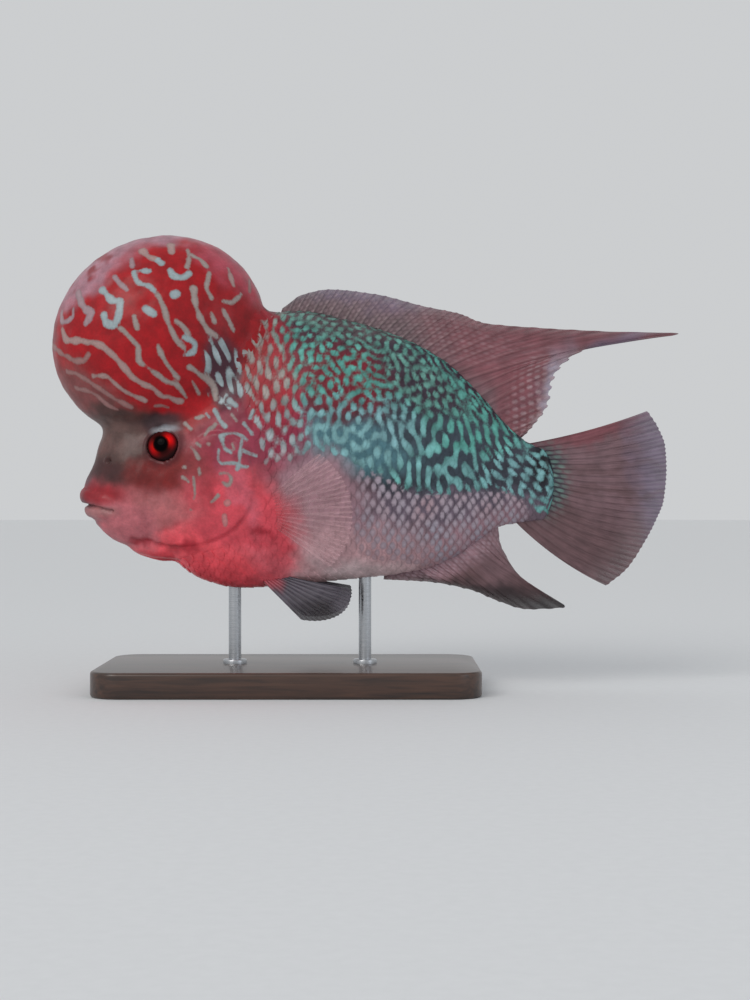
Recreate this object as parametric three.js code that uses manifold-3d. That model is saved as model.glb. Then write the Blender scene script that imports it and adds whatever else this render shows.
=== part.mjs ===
// A flowerhorn cichlid as a still, life-size display model on a flat base with two rods.
// Millimetres, +Z up. The snout points to -X, the fish's left side faces -Y,
// and the origin is the centre of the base's underside.
import * as THREE from 'three';
import { mergeVertices } from 'three/addons/utils/BufferGeometryUtils.js';
import Module from 'manifold-3d';

const wasm = await Module();
wasm.setup();

// Driving sizes of the fish
const GAP = 0.3; // kept between two pieces that touch
const HEAD_END_X = -55; // in front of this the trunk closes as a round cap
const STALK_END_X = 100;
const FACE_CAP = 24;
const STALK_CAP = 5.5;
const HEAD_CORE = new THREE.Vector3(-45, 0, 115); // every point of the head is seen from here

const HUMP = { centre: [-52.2, 0, 140.6], radii: [43.4, 29.5, 39.2], tilt: 28 };
const MUZZLE = { centre: [-71, 0, 78], radii: [11, 8.5, 9.5], tilt: 0 };
const CHIN = { centre: [-66.5, 0, 68], radii: [14.5, 9.5, 9], tilt: -35 };
const THROAT_FOLD = { centre: [-51.5, 0, 56.5], radii: [13, 9, 5.4], tilt: -8 };

const EYE = { x: -49, z: 96.8, seen: 6, radius: 7.5, depth: 5, rimTube: 0.9 };
const NOSTRIL = { x: -70.5, z: 90.5, radius: 0.9 };
const LIPS = {
  centreX: -68,
  upper: { z: 77, cornerDrop: 4.6, radius: 2.7 },
  lower: { z: 70.6, cornerDrop: 1.6, radius: 2.2 },
  sweep: 76,
  sunk: 1.1,
};

// Driving sizes of the stand
const BASE = { length: 150, width: 84, height: 10, corner: 12, edge: 1.2 };
const ROD = { radius: 2.5, frontX: -22, rearX: 30, sunk: 4, overlap: 12 };

// Meshing
const SEGMENTS = 36; // round the body
const HEAD_RINGS = 15;
const CAP_RINGS = 3;
const SECTION_ASPECT = 0.5; // points lie closer where the section turns tightly

// Makes a smooth curve through [x, value] pairs, flat at its own peaks.
function curve(pairs) {
  const slope = (i) => (pairs[i + 1][1] - pairs[i][1]) / (pairs[i + 1][0] - pairs[i][0]);
  const last = pairs.length - 1;
  const tangents = pairs.map((_, i) => {
    if (i === 0) return slope(0);
    if (i === last) return slope(last - 1);
    const before = slope(i - 1);
    const after = slope(i);
    return before * after > 0 ? (2 * before * after) / (before + after) : 0;
  });
  return (at) => {
    const x = THREE.MathUtils.clamp(at, pairs[0][0], pairs[last][0]);
    let i = 0;
    while (i < last - 1 && x > pairs[i + 1][0]) i += 1;
    const span = pairs[i + 1][0] - pairs[i][0];
    const t = (x - pairs[i][0]) / span;
    const t2 = t * t;
    const t3 = t2 * t;
    return (2 * t3 - 3 * t2 + 1) * pairs[i][1] + (t3 - 2 * t2 + t) * span * tangents[i]
      + (3 * t2 - 2 * t3) * pairs[i + 1][1] + (t3 - t2) * span * tangents[i + 1];
  };
}

// Side outline and half-width of the trunk, from the snout's root to the tail's root
const backLine = curve([
  [-55, 117], [-35, 137], [-12, 149.5], [4, 150.8], [24, 147], [44, 140.5],
  [62, 130.8], [76, 117.5], [88, 104], [95, 98.5], [100, 96],
]);
const bellyLine = curve([
  [-55, 56.5], [-46, 51], [-36, 43.8], [-20, 40], [10, 42.2], [37, 44.8],
  [54, 47.6], [66, 52.5], [76, 59.5], [84, 64.6], [92, 66], [100, 67],
]);
const widestLine = curve([[-55, 80], [-20, 88], [20, 92], [60, 91], [85, 84], [100, 81]]);
const halfWidth = curve([
  [-55, 17.5], [-35, 20.5], [-12, 23.2], [10, 23.5], [34, 21], [56, 15.5],
  [76, 9.6], [90, 6], [100, 3.8],
]);
const coreLine = curve([[-45, 115], [-10, 97], [20, 93], [60, 91], [85, 84], [106, 81]]);

// Distance to the trunk, negative inside. grow moves its surface outwards.
function trunkDistance(x, y, z, grow) {
  const station = THREE.MathUtils.clamp(x, HEAD_END_X, STALK_END_X);
  const middle = widestLine(station);
  const half = halfWidth(station) + grow;
  const tall = (z > middle ? backLine(station) - middle : middle - bellyLine(station)) + grow;
  const cap = (x < HEAD_END_X ? FACE_CAP : STALK_CAP) + grow;
  const u = (x - station) / cap;
  const v = y / half;
  const w = (z - middle) / tall;
  const radius = Math.hypot(u, v, w) + 1e-9;
  const steepness = Math.hypot(u / cap, v / half, w / tall) / radius + 1e-9;
  return (radius - 1) / steepness;
}

// Distance to an ellipsoid that is tilted in the side view, negative inside.
function ellipsoidDistance(form, x, y, z, grow) {
  const turn = THREE.MathUtils.degToRad(form.tilt);
  const dx = x - form.centre[0];
  const dz = z - form.centre[2];
  const local = [
    dx * Math.cos(turn) + dz * Math.sin(turn),
    y - form.centre[1],
    -dx * Math.sin(turn) + dz * Math.cos(turn),
  ];
  const radii = form.radii.map((r) => r + grow);
  const near = Math.hypot(...local.map((p, i) => p / radii[i])) + 1e-9;
  const steep = Math.hypot(...local.map((p, i) => p / radii[i] ** 2)) + 1e-9;
  return (near * (near - 1)) / steep;
}

// Joins two distances with a soft fillet about blend wide.
function softJoin(a, b, blend) {
  const share = THREE.MathUtils.clamp(0.5 + (0.5 * (b - a)) / blend, 0, 1);
  return b + (a - b) * share - blend * share * (1 - share);
}

function bodyDistance(x, y, z, grow = 0) {
  let d = trunkDistance(x, y, z, grow);
  d = softJoin(d, ellipsoidDistance(MUZZLE, x, y, z, grow), 6);
  d = softJoin(d, ellipsoidDistance(CHIN, x, y, z, grow), 4);
  d = softJoin(d, ellipsoidDistance(THROAT_FOLD, x, y, z, grow), 1.2);
  return softJoin(d, ellipsoidDistance(HUMP, x, y, z, grow), 5);
}

// The point where a ray from inside the body leaves its surface.
function surfacePoint(from, direction, grow = 0, reach = 90) {
  let inside = 0;
  let outside = reach;
  for (let step = 0; step < 26; step += 1) {
    const t = (inside + outside) / 2;
    const p = from.clone().addScaledVector(direction, t);
    if (bodyDistance(p.x, p.y, p.z, grow) < 0) inside = t;
    else outside = t;
  }
  return from.clone().addScaledVector(direction, inside);
}

// The surface point on the left or right side of the body, at a place in the side view.
function sidePoint(x, z, side, grow = 0) {
  return surfacePoint(new THREE.Vector3(x, 0, z), new THREE.Vector3(0, side, 0), grow, 40);
}

function surfaceNormal(p) {
  const e = 0.05;
  return new THREE.Vector3(
    bodyDistance(p.x + e, p.y, p.z) - bodyDistance(p.x - e, p.y, p.z),
    bodyDistance(p.x, p.y + e, p.z) - bodyDistance(p.x, p.y - e, p.z),
    bodyDistance(p.x, p.y, p.z + e) - bodyDistance(p.x, p.y, p.z - e),
  ).normalize();
}

// Makes a closed geometry from rings of points that run from one pole to the other.
function closedRings(firstPole, rings, lastPole) {
  const points = [firstPole, ...rings.flat(), lastPole];
  const around = rings[0].length;
  const at = (ring, k) => 1 + ring * around + (k % around);
  const faces = [];
  for (let k = 0; k < around; k += 1) {
    faces.push(0, at(0, k), at(0, k + 1));
    faces.push(points.length - 1, at(rings.length - 1, k + 1), at(rings.length - 1, k));
    for (let ring = 0; ring + 1 < rings.length; ring += 1) {
      faces.push(at(ring, k), at(ring + 1, k + 1), at(ring, k + 1));
      faces.push(at(ring, k), at(ring + 1, k), at(ring + 1, k + 1));
    }
  }
  const geometry = new THREE.BufferGeometry().setFromPoints(points);
  return geometry.setIndex(faces);
}

// Stations of the rings behind the head's core, closest where the hump drops to the back.
function tubeStations() {
  const stations = [];
  for (let x = HEAD_CORE.x; x < STALK_END_X; x += x > -22 && x < -4 ? 2.4 : 5.4) stations.push(x);
  stations.push(STALK_END_X);
  return stations;
}

function around(count, make) {
  return Array.from({ length: count }, (_, k) => {
    const turn = (2 * Math.PI * k) / count;
    const across = new THREE.Vector2(SECTION_ASPECT * Math.sin(turn), Math.cos(turn)).normalize();
    return make(across.x, across.y);
  });
}

// The whole body's surface, moved outwards by grow.
function bodyGeometry(grow) {
  const rings = [];
  for (let i = 1; i < HEAD_RINGS; i += 1) {
    const polar = (i / HEAD_RINGS) * (Math.PI / 2);
    rings.push(around(SEGMENTS, (y, z) => {
      const ray = new THREE.Vector3(-Math.cos(polar), Math.sin(polar) * y, Math.sin(polar) * z);
      return surfacePoint(HEAD_CORE, ray, grow);
    }));
  }
  for (const x of tubeStations()) {
    const core = new THREE.Vector3(x, 0, coreLine(x));
    rings.push(around(SEGMENTS, (y, z) => surfacePoint(core, new THREE.Vector3(0, y, z), grow)));
  }
  const end = new THREE.Vector3(STALK_END_X, 0, coreLine(STALK_END_X));
  for (let i = 1; i < CAP_RINGS; i += 1) {
    const rise = (i / CAP_RINGS) * (Math.PI / 2);
    rings.push(around(SEGMENTS, (y, z) => {
      const reach = surfacePoint(end, new THREE.Vector3(0, y, z), grow).sub(end);
      return end.clone().addScaledVector(reach, Math.cos(rise))
        .add(new THREE.Vector3((STALK_CAP + grow) * Math.sin(rise), 0, 0));
    }));
  }
  const front = surfacePoint(HEAD_CORE, new THREE.Vector3(-1, 0, 0), grow);
  const rear = end.clone().add(new THREE.Vector3(STALK_CAP + grow, 0, 0));
  return closedRings(front, rings, rear);
}

// Turns a closed geometry into a solid that can be joined and cut.
function solid(geometry, matrix = new THREE.Matrix4()) {
  const bare = geometry.index ? geometry.toNonIndexed() : geometry.clone();
  bare.deleteAttribute('normal');
  bare.deleteAttribute('uv');
  bare.applyMatrix4(matrix);
  const merged = mergeVertices(bare, 1e-4);
  return new wasm.Manifold(new wasm.Mesh({
    numProp: 3,
    vertProperties: merged.attributes.position.array,
    triVerts: new Uint32Array(merged.index.array),
  }));
}

function geometryOf(made) {
  const mesh = made.getMesh();
  const geometry = new THREE.BufferGeometry();
  geometry.setAttribute('position', new THREE.BufferAttribute(mesh.vertProperties, 3));
  geometry.setIndex(new THREE.BufferAttribute(mesh.triVerts, 1));
  return geometry;
}

// Keeps only the largest closed body, dropping loose scraps of a cut.
function largest(made) {
  return made.decompose().reduce((a, b) => (b.volume() > a.volume() ? b : a));
}

// A prism across the fish from an outline in the side view, between two places across.
function prism(outline, fromY = -60, toY = 60) {
  const shape = new THREE.Shape(outline.map(([x, z]) => new THREE.Vector2(x, z)));
  const geometry = new THREE.ExtrudeGeometry(shape, { depth: toY - fromY, bevelEnabled: false });
  const standing = new THREE.Matrix4().makeRotationX(Math.PI / 2).setPosition(0, toY, 0);
  return solid(geometry, standing);
}

// Smooths a line in the side view and moves it sideways.
function smoothLine(points, steps, shift) {
  const line = new THREE.SplineCurve(points.map(([x, z]) => new THREE.Vector2(x, z)));
  return Array.from({ length: steps + 1 }, (_, i) => {
    const p = line.getPoint(i / steps);
    const t = line.getTangent(i / steps);
    return [p.x - t.y * shift, p.y + t.x * shift];
  });
}

// Cuts a solid in two along a line in the side view and leaves the gap between them.
// far holds the corners that close the region on the line's left.
function cutAlong(made, points, far, steps = 24) {
  const left = prism([...smoothLine(points, steps, GAP / 2), ...far]);
  const leftWide = prism([...smoothLine(points, steps, -GAP / 2), ...far]);
  return { left: largest(made.intersect(left)), right: largest(made.subtract(leftWide)) };
}

// Lips

function lipTube(lip) {
  const path = [];
  for (let i = -6; i <= 6; i += 1) {
    const turn = THREE.MathUtils.degToRad((LIPS.sweep * i) / 6);
    const drop = lip.cornerDrop * (1 - Math.cos(turn));
    const from = new THREE.Vector3(LIPS.centreX, 0, lip.z - drop);
    const ray = new THREE.Vector3(-Math.cos(turn), Math.sin(turn), 0);
    path.push(surfacePoint(from, ray, -LIPS.sunk, 30));
  }
  const sides = 7;
  const section = new THREE.Shape(Array.from({ length: sides }, (_, k) => {
    const turn = (2 * Math.PI * k) / sides;
    return new THREE.Vector2(lip.radius * Math.cos(turn), lip.radius * Math.sin(turn));
  }));
  return solid(new THREE.ExtrudeGeometry(section, {
    steps: 12, extrudePath: new THREE.CatmullRomCurve3(path), bevelEnabled: false,
  }));
}

// Eyes

function eyePlace(side) {
  const skin = sidePoint(EYE.x, EYE.z, side);
  const out = surfaceNormal(skin);
  const sunk = EYE.depth * Math.sqrt(1 - (EYE.seen / EYE.radius) ** 2);
  const turn = new THREE.Quaternion().setFromUnitVectors(new THREE.Vector3(0, 0, 1), out);
  return { skin, out, centre: skin.clone().addScaledVector(out, -sunk), turn };
}

function eyeball(side, grow, detail = 16) {
  const place = eyePlace(side);
  const size = new THREE.Vector3(EYE.radius + grow, EYE.radius + grow, EYE.depth + grow);
  const matrix = new THREE.Matrix4().compose(place.centre, place.turn, size);
  return solid(new THREE.SphereGeometry(1, detail, detail / 2), matrix);
}

function eyeRim(side) {
  const place = eyePlace(side);
  const one = new THREE.Vector3(1, 1, 1);
  const centre = place.skin.clone().addScaledVector(place.out, -EYE.rimTube * 0.35);
  const matrix = new THREE.Matrix4().compose(centre, place.turn, one);
  return solid(new THREE.TorusGeometry(EYE.seen + EYE.rimTube, EYE.rimTube, 5, 18), matrix);
}

function nostril(side) {
  const skin = sidePoint(NOSTRIL.x, NOSTRIL.z, side);
  const matrix = new THREE.Matrix4().setPosition(skin);
  return solid(new THREE.IcosahedronGeometry(NOSTRIL.radius, 1), matrix);
}

// Lines that part the body, in the side view
const HUMP_LINE = [
  [-120, 88], [-90, 95], [-73.6, 102.6], [-56, 108], [-36, 114], [-22, 127],
  [-11.5, 143], [-7.6, 151], [-2, 170], [0, 200],
];
const MOUTH_LINE = [
  [-100, 73.9], [-82, 73.9], [-74, 73], [-66.5, 70], [-63.8, 63], [-62.7, 56], [-62.5, 40],
];
const GILL_LINE = [
  [-10, 156], [-21, 127], [-17, 110], [-12.4, 96], [-10.6, 84], [-12.6, 71], [-19, 61.5],
  [-30, 55.6], [-43, 52], [-47.5, 47], [-50, 30],
];
const STALK_LINE = [[82, 130], [84, 104], [85.5, 84], [84.5, 66], [83, 45]];
const GILL_COVER = [
  [-35, 99], [-26, 101.5], [-17, 95.5], [-13, 84], [-14.6, 72.5], [-21, 64], [-31, 58.6],
  [-37, 60], [-34.5, 74],
];
const COVER_MIDDLE = new THREE.Vector2(-25, 80);
const COVER_DEPTH = 2.4;
const COVER_RAISED = 0.7;

function coverPrism(side, widen) {
  const line = new THREE.SplineCurve([...GILL_COVER, GILL_COVER[0]].map(([x, z]) => (
    new THREE.Vector2(x, z))));
  const outline = line.getSpacedPoints(22).slice(0, -1).map((p) => {
    const out = p.clone().sub(COVER_MIDDLE).setLength(widen);
    return [p.x + out.x, p.y + out.y];
  });
  return side < 0 ? prism(outline, -60, -4) : prism(outline, 4, 60);
}

function fleshParts() {
  const body = solid(bodyGeometry(0));
  let whole = body.add(lipTube(LIPS.upper)).add(lipTube(LIPS.lower));
  for (const side of [-1, 1]) {
    whole = whole.add(eyeRim(side)).subtract(eyeball(side, GAP)).subtract(nostril(side));
  }
  const above = [[-40, 260], [-140, 260]];
  const { left: nuchal_hump, right: below } = cutAlong(whole, HUMP_LINE, above);
  const behind = [[200, 20], [200, 260]];
  const { left: tail_stalk, right: front } = cutAlong(below, STALK_LINE, behind);
  const { left: torso, right: face } = cutAlong(front, GILL_LINE, [[200, 20], [200, 260]], 30);
  const { left: upper, right: lower_jaw } = cutAlong(face, MOUTH_LINE, [[40, 30], [40, 260], [-100, 260]]);
  const core = solid(bodyGeometry(-COVER_DEPTH));
  const deepCore = solid(bodyGeometry(-COVER_DEPTH - GAP));
  const raised = solid(bodyGeometry(COVER_RAISED));
  const parts = { nuchal_hump, lower_jaw, torso, tail_stalk };
  let head = upper;
  for (const [name, side] of [['gill_cover_left', -1], ['gill_cover_right', 1]]) {
    parts[name] = largest(raised.intersect(coverPrism(side, 0)).subtract(core));
    head = head.subtract(coverPrism(side, GAP).subtract(deepCore));
  }
  parts.head = largest(head);
  return parts;
}

// Fins

// Makes one closed fin. place(u, v) is a point of its middle surface, with u along the
// root and v from root to margin, facing is the direction across it, and rays are ridges.
function finSolid({ rays, rows, place, facing, root, margin, inset }) {
  const columns = 2 * rays;
  const sides = [[], []];
  for (let i = 0; i <= columns; i += 1) {
    const onRay = i % 2 === 0;
    for (let j = 0; j <= rows; j += 1) {
      const v = (j / rows) * (onRay ? 1 : 1 - inset);
      const p = place(i / columns, v);
      const ray = THREE.MathUtils.lerp(root.ray, margin.ray, Math.sqrt(v));
      const web = THREE.MathUtils.lerp(root.web, margin.web, Math.sqrt(v));
      const half = (onRay ? ray : web) / 2;
      const across = facing(i / columns, v);
      sides[0].push(p.clone().addScaledVector(across, half));
      sides[1].push(p.clone().addScaledVector(across, -half));
    }
  }
  const count = sides[0].length;
  const at = (side, i, j) => side * count + i * (rows + 1) + j;
  const faces = [];
  const quad = (a, b, c, d) => faces.push(a, b, c, a, c, d);
  for (let i = 0; i < columns; i += 1) {
    for (let j = 0; j < rows; j += 1) {
      quad(at(0, i, j), at(0, i + 1, j), at(0, i + 1, j + 1), at(0, i, j + 1));
      faces.push(at(1, i, j), at(1, i + 1, j + 1), at(1, i + 1, j));
      faces.push(at(1, i, j), at(1, i, j + 1), at(1, i + 1, j + 1));
    }
    quad(at(0, i + 1, 0), at(0, i, 0), at(1, i, 0), at(1, i + 1, 0));
    quad(at(0, i, rows), at(0, i + 1, rows), at(1, i + 1, rows), at(1, i, rows));
  }
  for (let j = 0; j < rows; j += 1) {
    quad(at(0, 0, j), at(0, 0, j + 1), at(1, 0, j + 1), at(1, 0, j));
    quad(at(0, columns, j + 1), at(0, columns, j), at(1, columns, j), at(1, columns, j + 1));
  }
  const geometry = new THREE.BufferGeometry().setFromPoints(sides.flat()).setIndex(faces);
  const made = solid(geometry);
  if (made.volume() > 0) return made;
  const flipped = [];
  for (let i = 0; i < faces.length; i += 3) flipped.push(faces[i], faces[i + 2], faces[i + 1]);
  return solid(geometry.setIndex(flipped));
}

// Follows [share, x, z] stops smoothly, for a fin's root line or margin.
function stops(list) {
  const alongX = curve(list.map(([u, x]) => [u, x]));
  const alongZ = curve(list.map(([u, , z]) => [u, z]));
  return (u) => new THREE.Vector3(alongX(u), 0, alongZ(u));
}

const ACROSS = new THREE.Vector3(0, 1, 0);

// A fin in the fish's middle plane, with rays that bow towards the tail and a slow wave.
function middleFin({ rootLine, marginLine, bow, wave, ...rest }) {
  const place = (u, v) => {
    const from = rootLine(u);
    const to = marginLine(u);
    const control = from.clone().lerp(to, 0.5);
    const along = to.clone().sub(from);
    control.add(new THREE.Vector3(-along.z, 0, along.x).multiplyScalar(bow(u)));
    const p = from.multiplyScalar((1 - v) ** 2).addScaledVector(control, 2 * v * (1 - v));
    p.addScaledVector(to, v * v);
    p.y = wave(u) * v * v;
    return p;
  };
  return finSolid({ place, facing: () => ACROSS, ...rest });
}

const DORSAL = { from: -4, to: 91, sunk: 2.2 };
const STREAMER_LINE = [[105.5, 180], [107.5, 135], [109, 90]]; // parts the long rear tip from the fin
const ANAL = { from: 38, to: 82.5, sunk: 2.2 };

function dorsalFin() {
  const margin = stops([
    [0, -3, 151.8], [0.05, 5, 157.4], [0.14, 16, 159.6], [0.3, 34, 157.8], [0.45, 54, 152.8],
    [0.55, 68, 149.8], [0.62, 78, 146], [0.68, 100, 144], [0.73, 126, 142.6],
    [0.765, 156, 141.6], [0.8, 128, 138.4], [0.84, 112, 131.6], [0.88, 105.5, 123],
    [0.92, 103.5, 113.6], [0.96, 98.5, 106.4], [1, 93.4, 101],
  ]);
  const rootLine = (u) => {
    const x = THREE.MathUtils.lerp(DORSAL.from, DORSAL.to, u);
    return new THREE.Vector3(x, 0, backLine(x) - DORSAL.sunk);
  };
  return middleFin({
    rays: 25, rows: 5, rootLine, marginLine: margin, inset: 0.02,
    bow: (u) => 0.04 + 0.03 * Math.sin(Math.PI * u), wave: (u) => 2.2 * Math.sin(5 * u),
    root: { ray: 2.6, web: 1.7 }, margin: { ray: 0.75, web: 0.5 },
  });
}

function analFin() {
  const margin = stops([
    [0, 37.4, 43.4], [0.2, 55, 42.6], [0.4, 73, 39.2], [0.55, 84, 34.6], [0.66, 96, 31.4],
    [0.75, 110.4, 32.4], [0.83, 96, 40.4], [0.9, 88, 50], [0.96, 84, 58], [1, 83.2, 63],
  ]);
  const rootLine = (u) => {
    const x = THREE.MathUtils.lerp(ANAL.from, ANAL.to, u);
    return new THREE.Vector3(x, 0, bellyLine(x) + ANAL.sunk);
  };
  return middleFin({
    rays: 14, rows: 4, rootLine, marginLine: margin, inset: 0.02,
    bow: (u) => -0.05 * Math.sin(Math.PI * u), wave: (u) => -1.6 * Math.sin(4 * u),
    root: { ray: 2.4, web: 1.5 }, margin: { ray: 0.75, web: 0.5 },
  });
}

function caudalFin() {
  const margin = stops([
    [0, 142.8, 110.8], [0.08, 147, 104.6], [0.2, 150.2, 96.6], [0.34, 150.9, 87],
    [0.5, 150, 75.4], [0.64, 146.8, 66.8], [0.78, 141.6, 57], [0.9, 135, 47.4],
    [1, 126.8, 40.8],
  ]);
  const rootLine = stops([
    [0, 93, 97.4], [0.2, 99, 91.5], [0.5, 102, 81.6], [0.8, 98, 72], [1, 90, 66.6],
  ]);
  return middleFin({
    rays: 16, rows: 5, rootLine, marginLine: margin, inset: 0.014,
    bow: (u) => THREE.MathUtils.lerp(-0.05, -0.09, u), wave: (u) => 3 * Math.sin(3 * u - 0.6),
    root: { ray: 3, web: 2 }, margin: { ray: 0.75, web: 0.5 },
  });
}

// A paired fin as a fan: its root is a short line on the body, and its rays open from it.
function fanFin({ side, rootAt, lean, spread, length, cup, ...rest }) {
  const out = new THREE.Vector3(0, side, 0);
  const place = (u, v) => {
    const from = rootAt(u);
    const turn = THREE.MathUtils.degToRad(THREE.MathUtils.lerp(spread[0], spread[1], u));
    const flat = new THREE.Vector3(Math.cos(turn), 0, Math.sin(turn));
    const reach = length(u) * v;
    const p = from.addScaledVector(flat, reach * Math.cos(lean));
    p.addScaledVector(out, reach * Math.sin(lean) + cup * v * (1 - v));
    return p;
  };
  const facing = () => new THREE.Vector3(-Math.sin(lean), side * Math.cos(lean), 0);
  return finSolid({ place, facing, ...rest });
}

const PECTORAL = { x: -8, top: 76, bottom: 65, sunk: 1.6, lean: 20, longest: 34 };
const PELVIC = { front: -12, rear: -4, apart: 6.5, sunk: 2.5, lean: 16, longest: 34 };

function pectoralFin(side) {
  return fanFin({
    side,
    rootAt: (u) => {
      const z = THREE.MathUtils.lerp(PECTORAL.top, PECTORAL.bottom, u);
      const skin = sidePoint(PECTORAL.x + 3 * u, z, side);
      return skin.addScaledVector(new THREE.Vector3(0, -side, 0), PECTORAL.sunk);
    },
    lean: THREE.MathUtils.degToRad(PECTORAL.lean),
    spread: [40, -36],
    length: (u) => PECTORAL.longest * (0.74 + 0.26 * Math.sin(Math.PI * (0.12 + 0.76 * u))),
    rays: 11, rows: 4, cup: 3, inset: 0.02,
    root: { ray: 2.2, web: 1.6 }, margin: { ray: 0.8, web: 0.5 },
  });
}

function pelvicFin(side) {
  return fanFin({
    side,
    rootAt: (u) => {
      const x = THREE.MathUtils.lerp(PELVIC.front, PELVIC.rear, u);
      const inside = new THREE.Vector3(x, side * PELVIC.apart, coreLine(x));
      const skin = surfacePoint(inside, new THREE.Vector3(0, 0, -1));
      return skin.add(new THREE.Vector3(0, 0, PELVIC.sunk));
    },
    lean: THREE.MathUtils.degToRad(PELVIC.lean),
    spread: [-44, -10],
    length: (u) => PELVIC.longest * (0.74 + 0.3 * Math.sin(Math.PI * (0.15 + 0.7 * u)) - 0.1 * u),
    rays: 6, rows: 5, cup: 1.5, inset: 0.03,
    root: { ray: 2.4, web: 1.7 }, margin: { ray: 0.8, web: 0.5 },
  });
}

function finParts() {
  const grown = solid(bodyGeometry(GAP));
  const fins = {
    dorsal_fin: dorsalFin(),
    anal_fin: analFin(),
    caudal_fin: caudalFin(),
    pectoral_fin_left: pectoralFin(-1),
    pectoral_fin_right: pectoralFin(1),
    pelvic_fin_left: pelvicFin(-1),
    pelvic_fin_right: pelvicFin(1),
  };
  for (const name of Object.keys(fins)) fins[name] = largest(fins[name].subtract(grown));
  const behind = [[200, 90], [200, 180]];
  const { left: dorsal_fin_streamer, right: dorsal_fin } = cutAlong(
    fins.dorsal_fin, STREAMER_LINE, behind, 4);
  return { ...fins, dorsal_fin, dorsal_fin_streamer };
}

// Stand

function standBase() {
  const { length, width, height, corner, edge } = BASE;
  const shape = new THREE.Shape();
  const x = length / 2 - edge;
  const y = width / 2 - edge;
  const r = corner;
  shape.moveTo(-x + r, -y).lineTo(x - r, -y).absarc(x - r, -y + r, r, -Math.PI / 2, 0);
  shape.lineTo(x, y - r).absarc(x - r, y - r, r, 0, Math.PI / 2);
  shape.lineTo(-x + r, y).absarc(-x + r, y - r, r, Math.PI / 2, Math.PI);
  shape.lineTo(-x, -y + r).absarc(-x + r, -y + r, r, Math.PI, 1.5 * Math.PI);
  const geometry = new THREE.ExtrudeGeometry(shape, {
    depth: height - 2 * edge, bevelEnabled: true, bevelThickness: edge, bevelSize: edge,
    bevelSegments: 1, curveSegments: 6,
  });
  let base = solid(geometry, new THREE.Matrix4().setPosition(0, 0, edge));
  for (const rodX of [ROD.frontX, ROD.rearX]) base = base.subtract(rodAt(rodX, GAP));
  return base;
}

// A rod from its socket in the base up into the belly, before the belly is cut from it.
function rodAt(x, grow = 0) {
  const bottom = BASE.height - ROD.sunk - grow;
  const top = bellyLine(x) + ROD.overlap;
  const radius = ROD.radius + grow;
  const geometry = new THREE.CylinderGeometry(radius, radius, top - bottom, 20);
  const standing = new THREE.Matrix4().makeRotationX(Math.PI / 2);
  return solid(geometry, standing.setPosition(x, 0, (top + bottom) / 2));
}

function standParts() {
  const grown = solid(bodyGeometry(GAP));
  return {
    stand_base: standBase(),
    stand_rod_front: largest(rodAt(ROD.frontX).subtract(grown)),
    stand_rod_rear: largest(rodAt(ROD.rearX).subtract(grown)),
  };
}

// Materials
const material = (color, roughness, metalness = 0) => (
  new THREE.MeshStandardMaterial({ color, roughness, metalness }));
const FLESH = {
  hump: material('#b3202b', 0.38),
  face: material('#b0525a', 0.42),
  jaw: material('#d2646a', 0.42),
  cover: material('#c4596a', 0.38),
  flank: material('#5f9f9d', 0.36),
  stalk: material('#566a72', 0.38),
};
const FIN = material('#7b5059', 0.45);
const CLEAR_FIN = material('#a58a8f', 0.35);
const EYE_RED = material('#c8141c', 0.1);
const BASE_WOOD = material('#2b2422', 0.35);
const ROD_STEEL = material('#b9bcc0', 0.25, 1);
const FINISH = {
  nuchal_hump: FLESH.hump,
  head: FLESH.face,
  lower_jaw: FLESH.jaw,
  gill_cover_left: FLESH.cover,
  gill_cover_right: FLESH.cover,
  torso: FLESH.flank,
  tail_stalk: FLESH.stalk,
  dorsal_fin: FIN,
  dorsal_fin_streamer: FIN,
  anal_fin: FIN,
  caudal_fin: FIN,
  pectoral_fin_left: CLEAR_FIN,
  pectoral_fin_right: CLEAR_FIN,
  pelvic_fin_left: FIN,
  pelvic_fin_right: FIN,
  eye_left: EYE_RED,
  eye_right: EYE_RED,
  stand_base: BASE_WOOD,
  stand_rod_front: ROD_STEEL,
  stand_rod_rear: ROD_STEEL,
};

const fish = new THREE.Group();
const pieces = {
  ...fleshParts(),
  ...finParts(),
  eye_left: eyeball(-1, 0),
  eye_right: eyeball(1, 0),
  ...standParts(),
};
for (const [name, made] of Object.entries(pieces)) {
  const mesh = new THREE.Mesh(geometryOf(made), FINISH[name]);
  mesh.name = name;
  fish.add(mesh);
}

export default fish;
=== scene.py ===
"""A flowerhorn cichlid as a still, life-size display model on a flat base with two rods.

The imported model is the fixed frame. The flesh is one closed skin with solid scales over it,
the fins are thin blades with raised rays, and the eyes are separate.

The frame is in metres. Sizes in this file are in millimetres until a mesh is placed.
X runs from the snout to the tail, the fish's left side faces -Y, and Z is up.
"""

from __future__ import annotations

import logging
import math
from dataclasses import dataclass
from enum import Enum
from typing import Callable, Iterable, Sequence

import bpy
import numpy as np
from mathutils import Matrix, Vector
from mathutils.kdtree import KDTree

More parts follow.
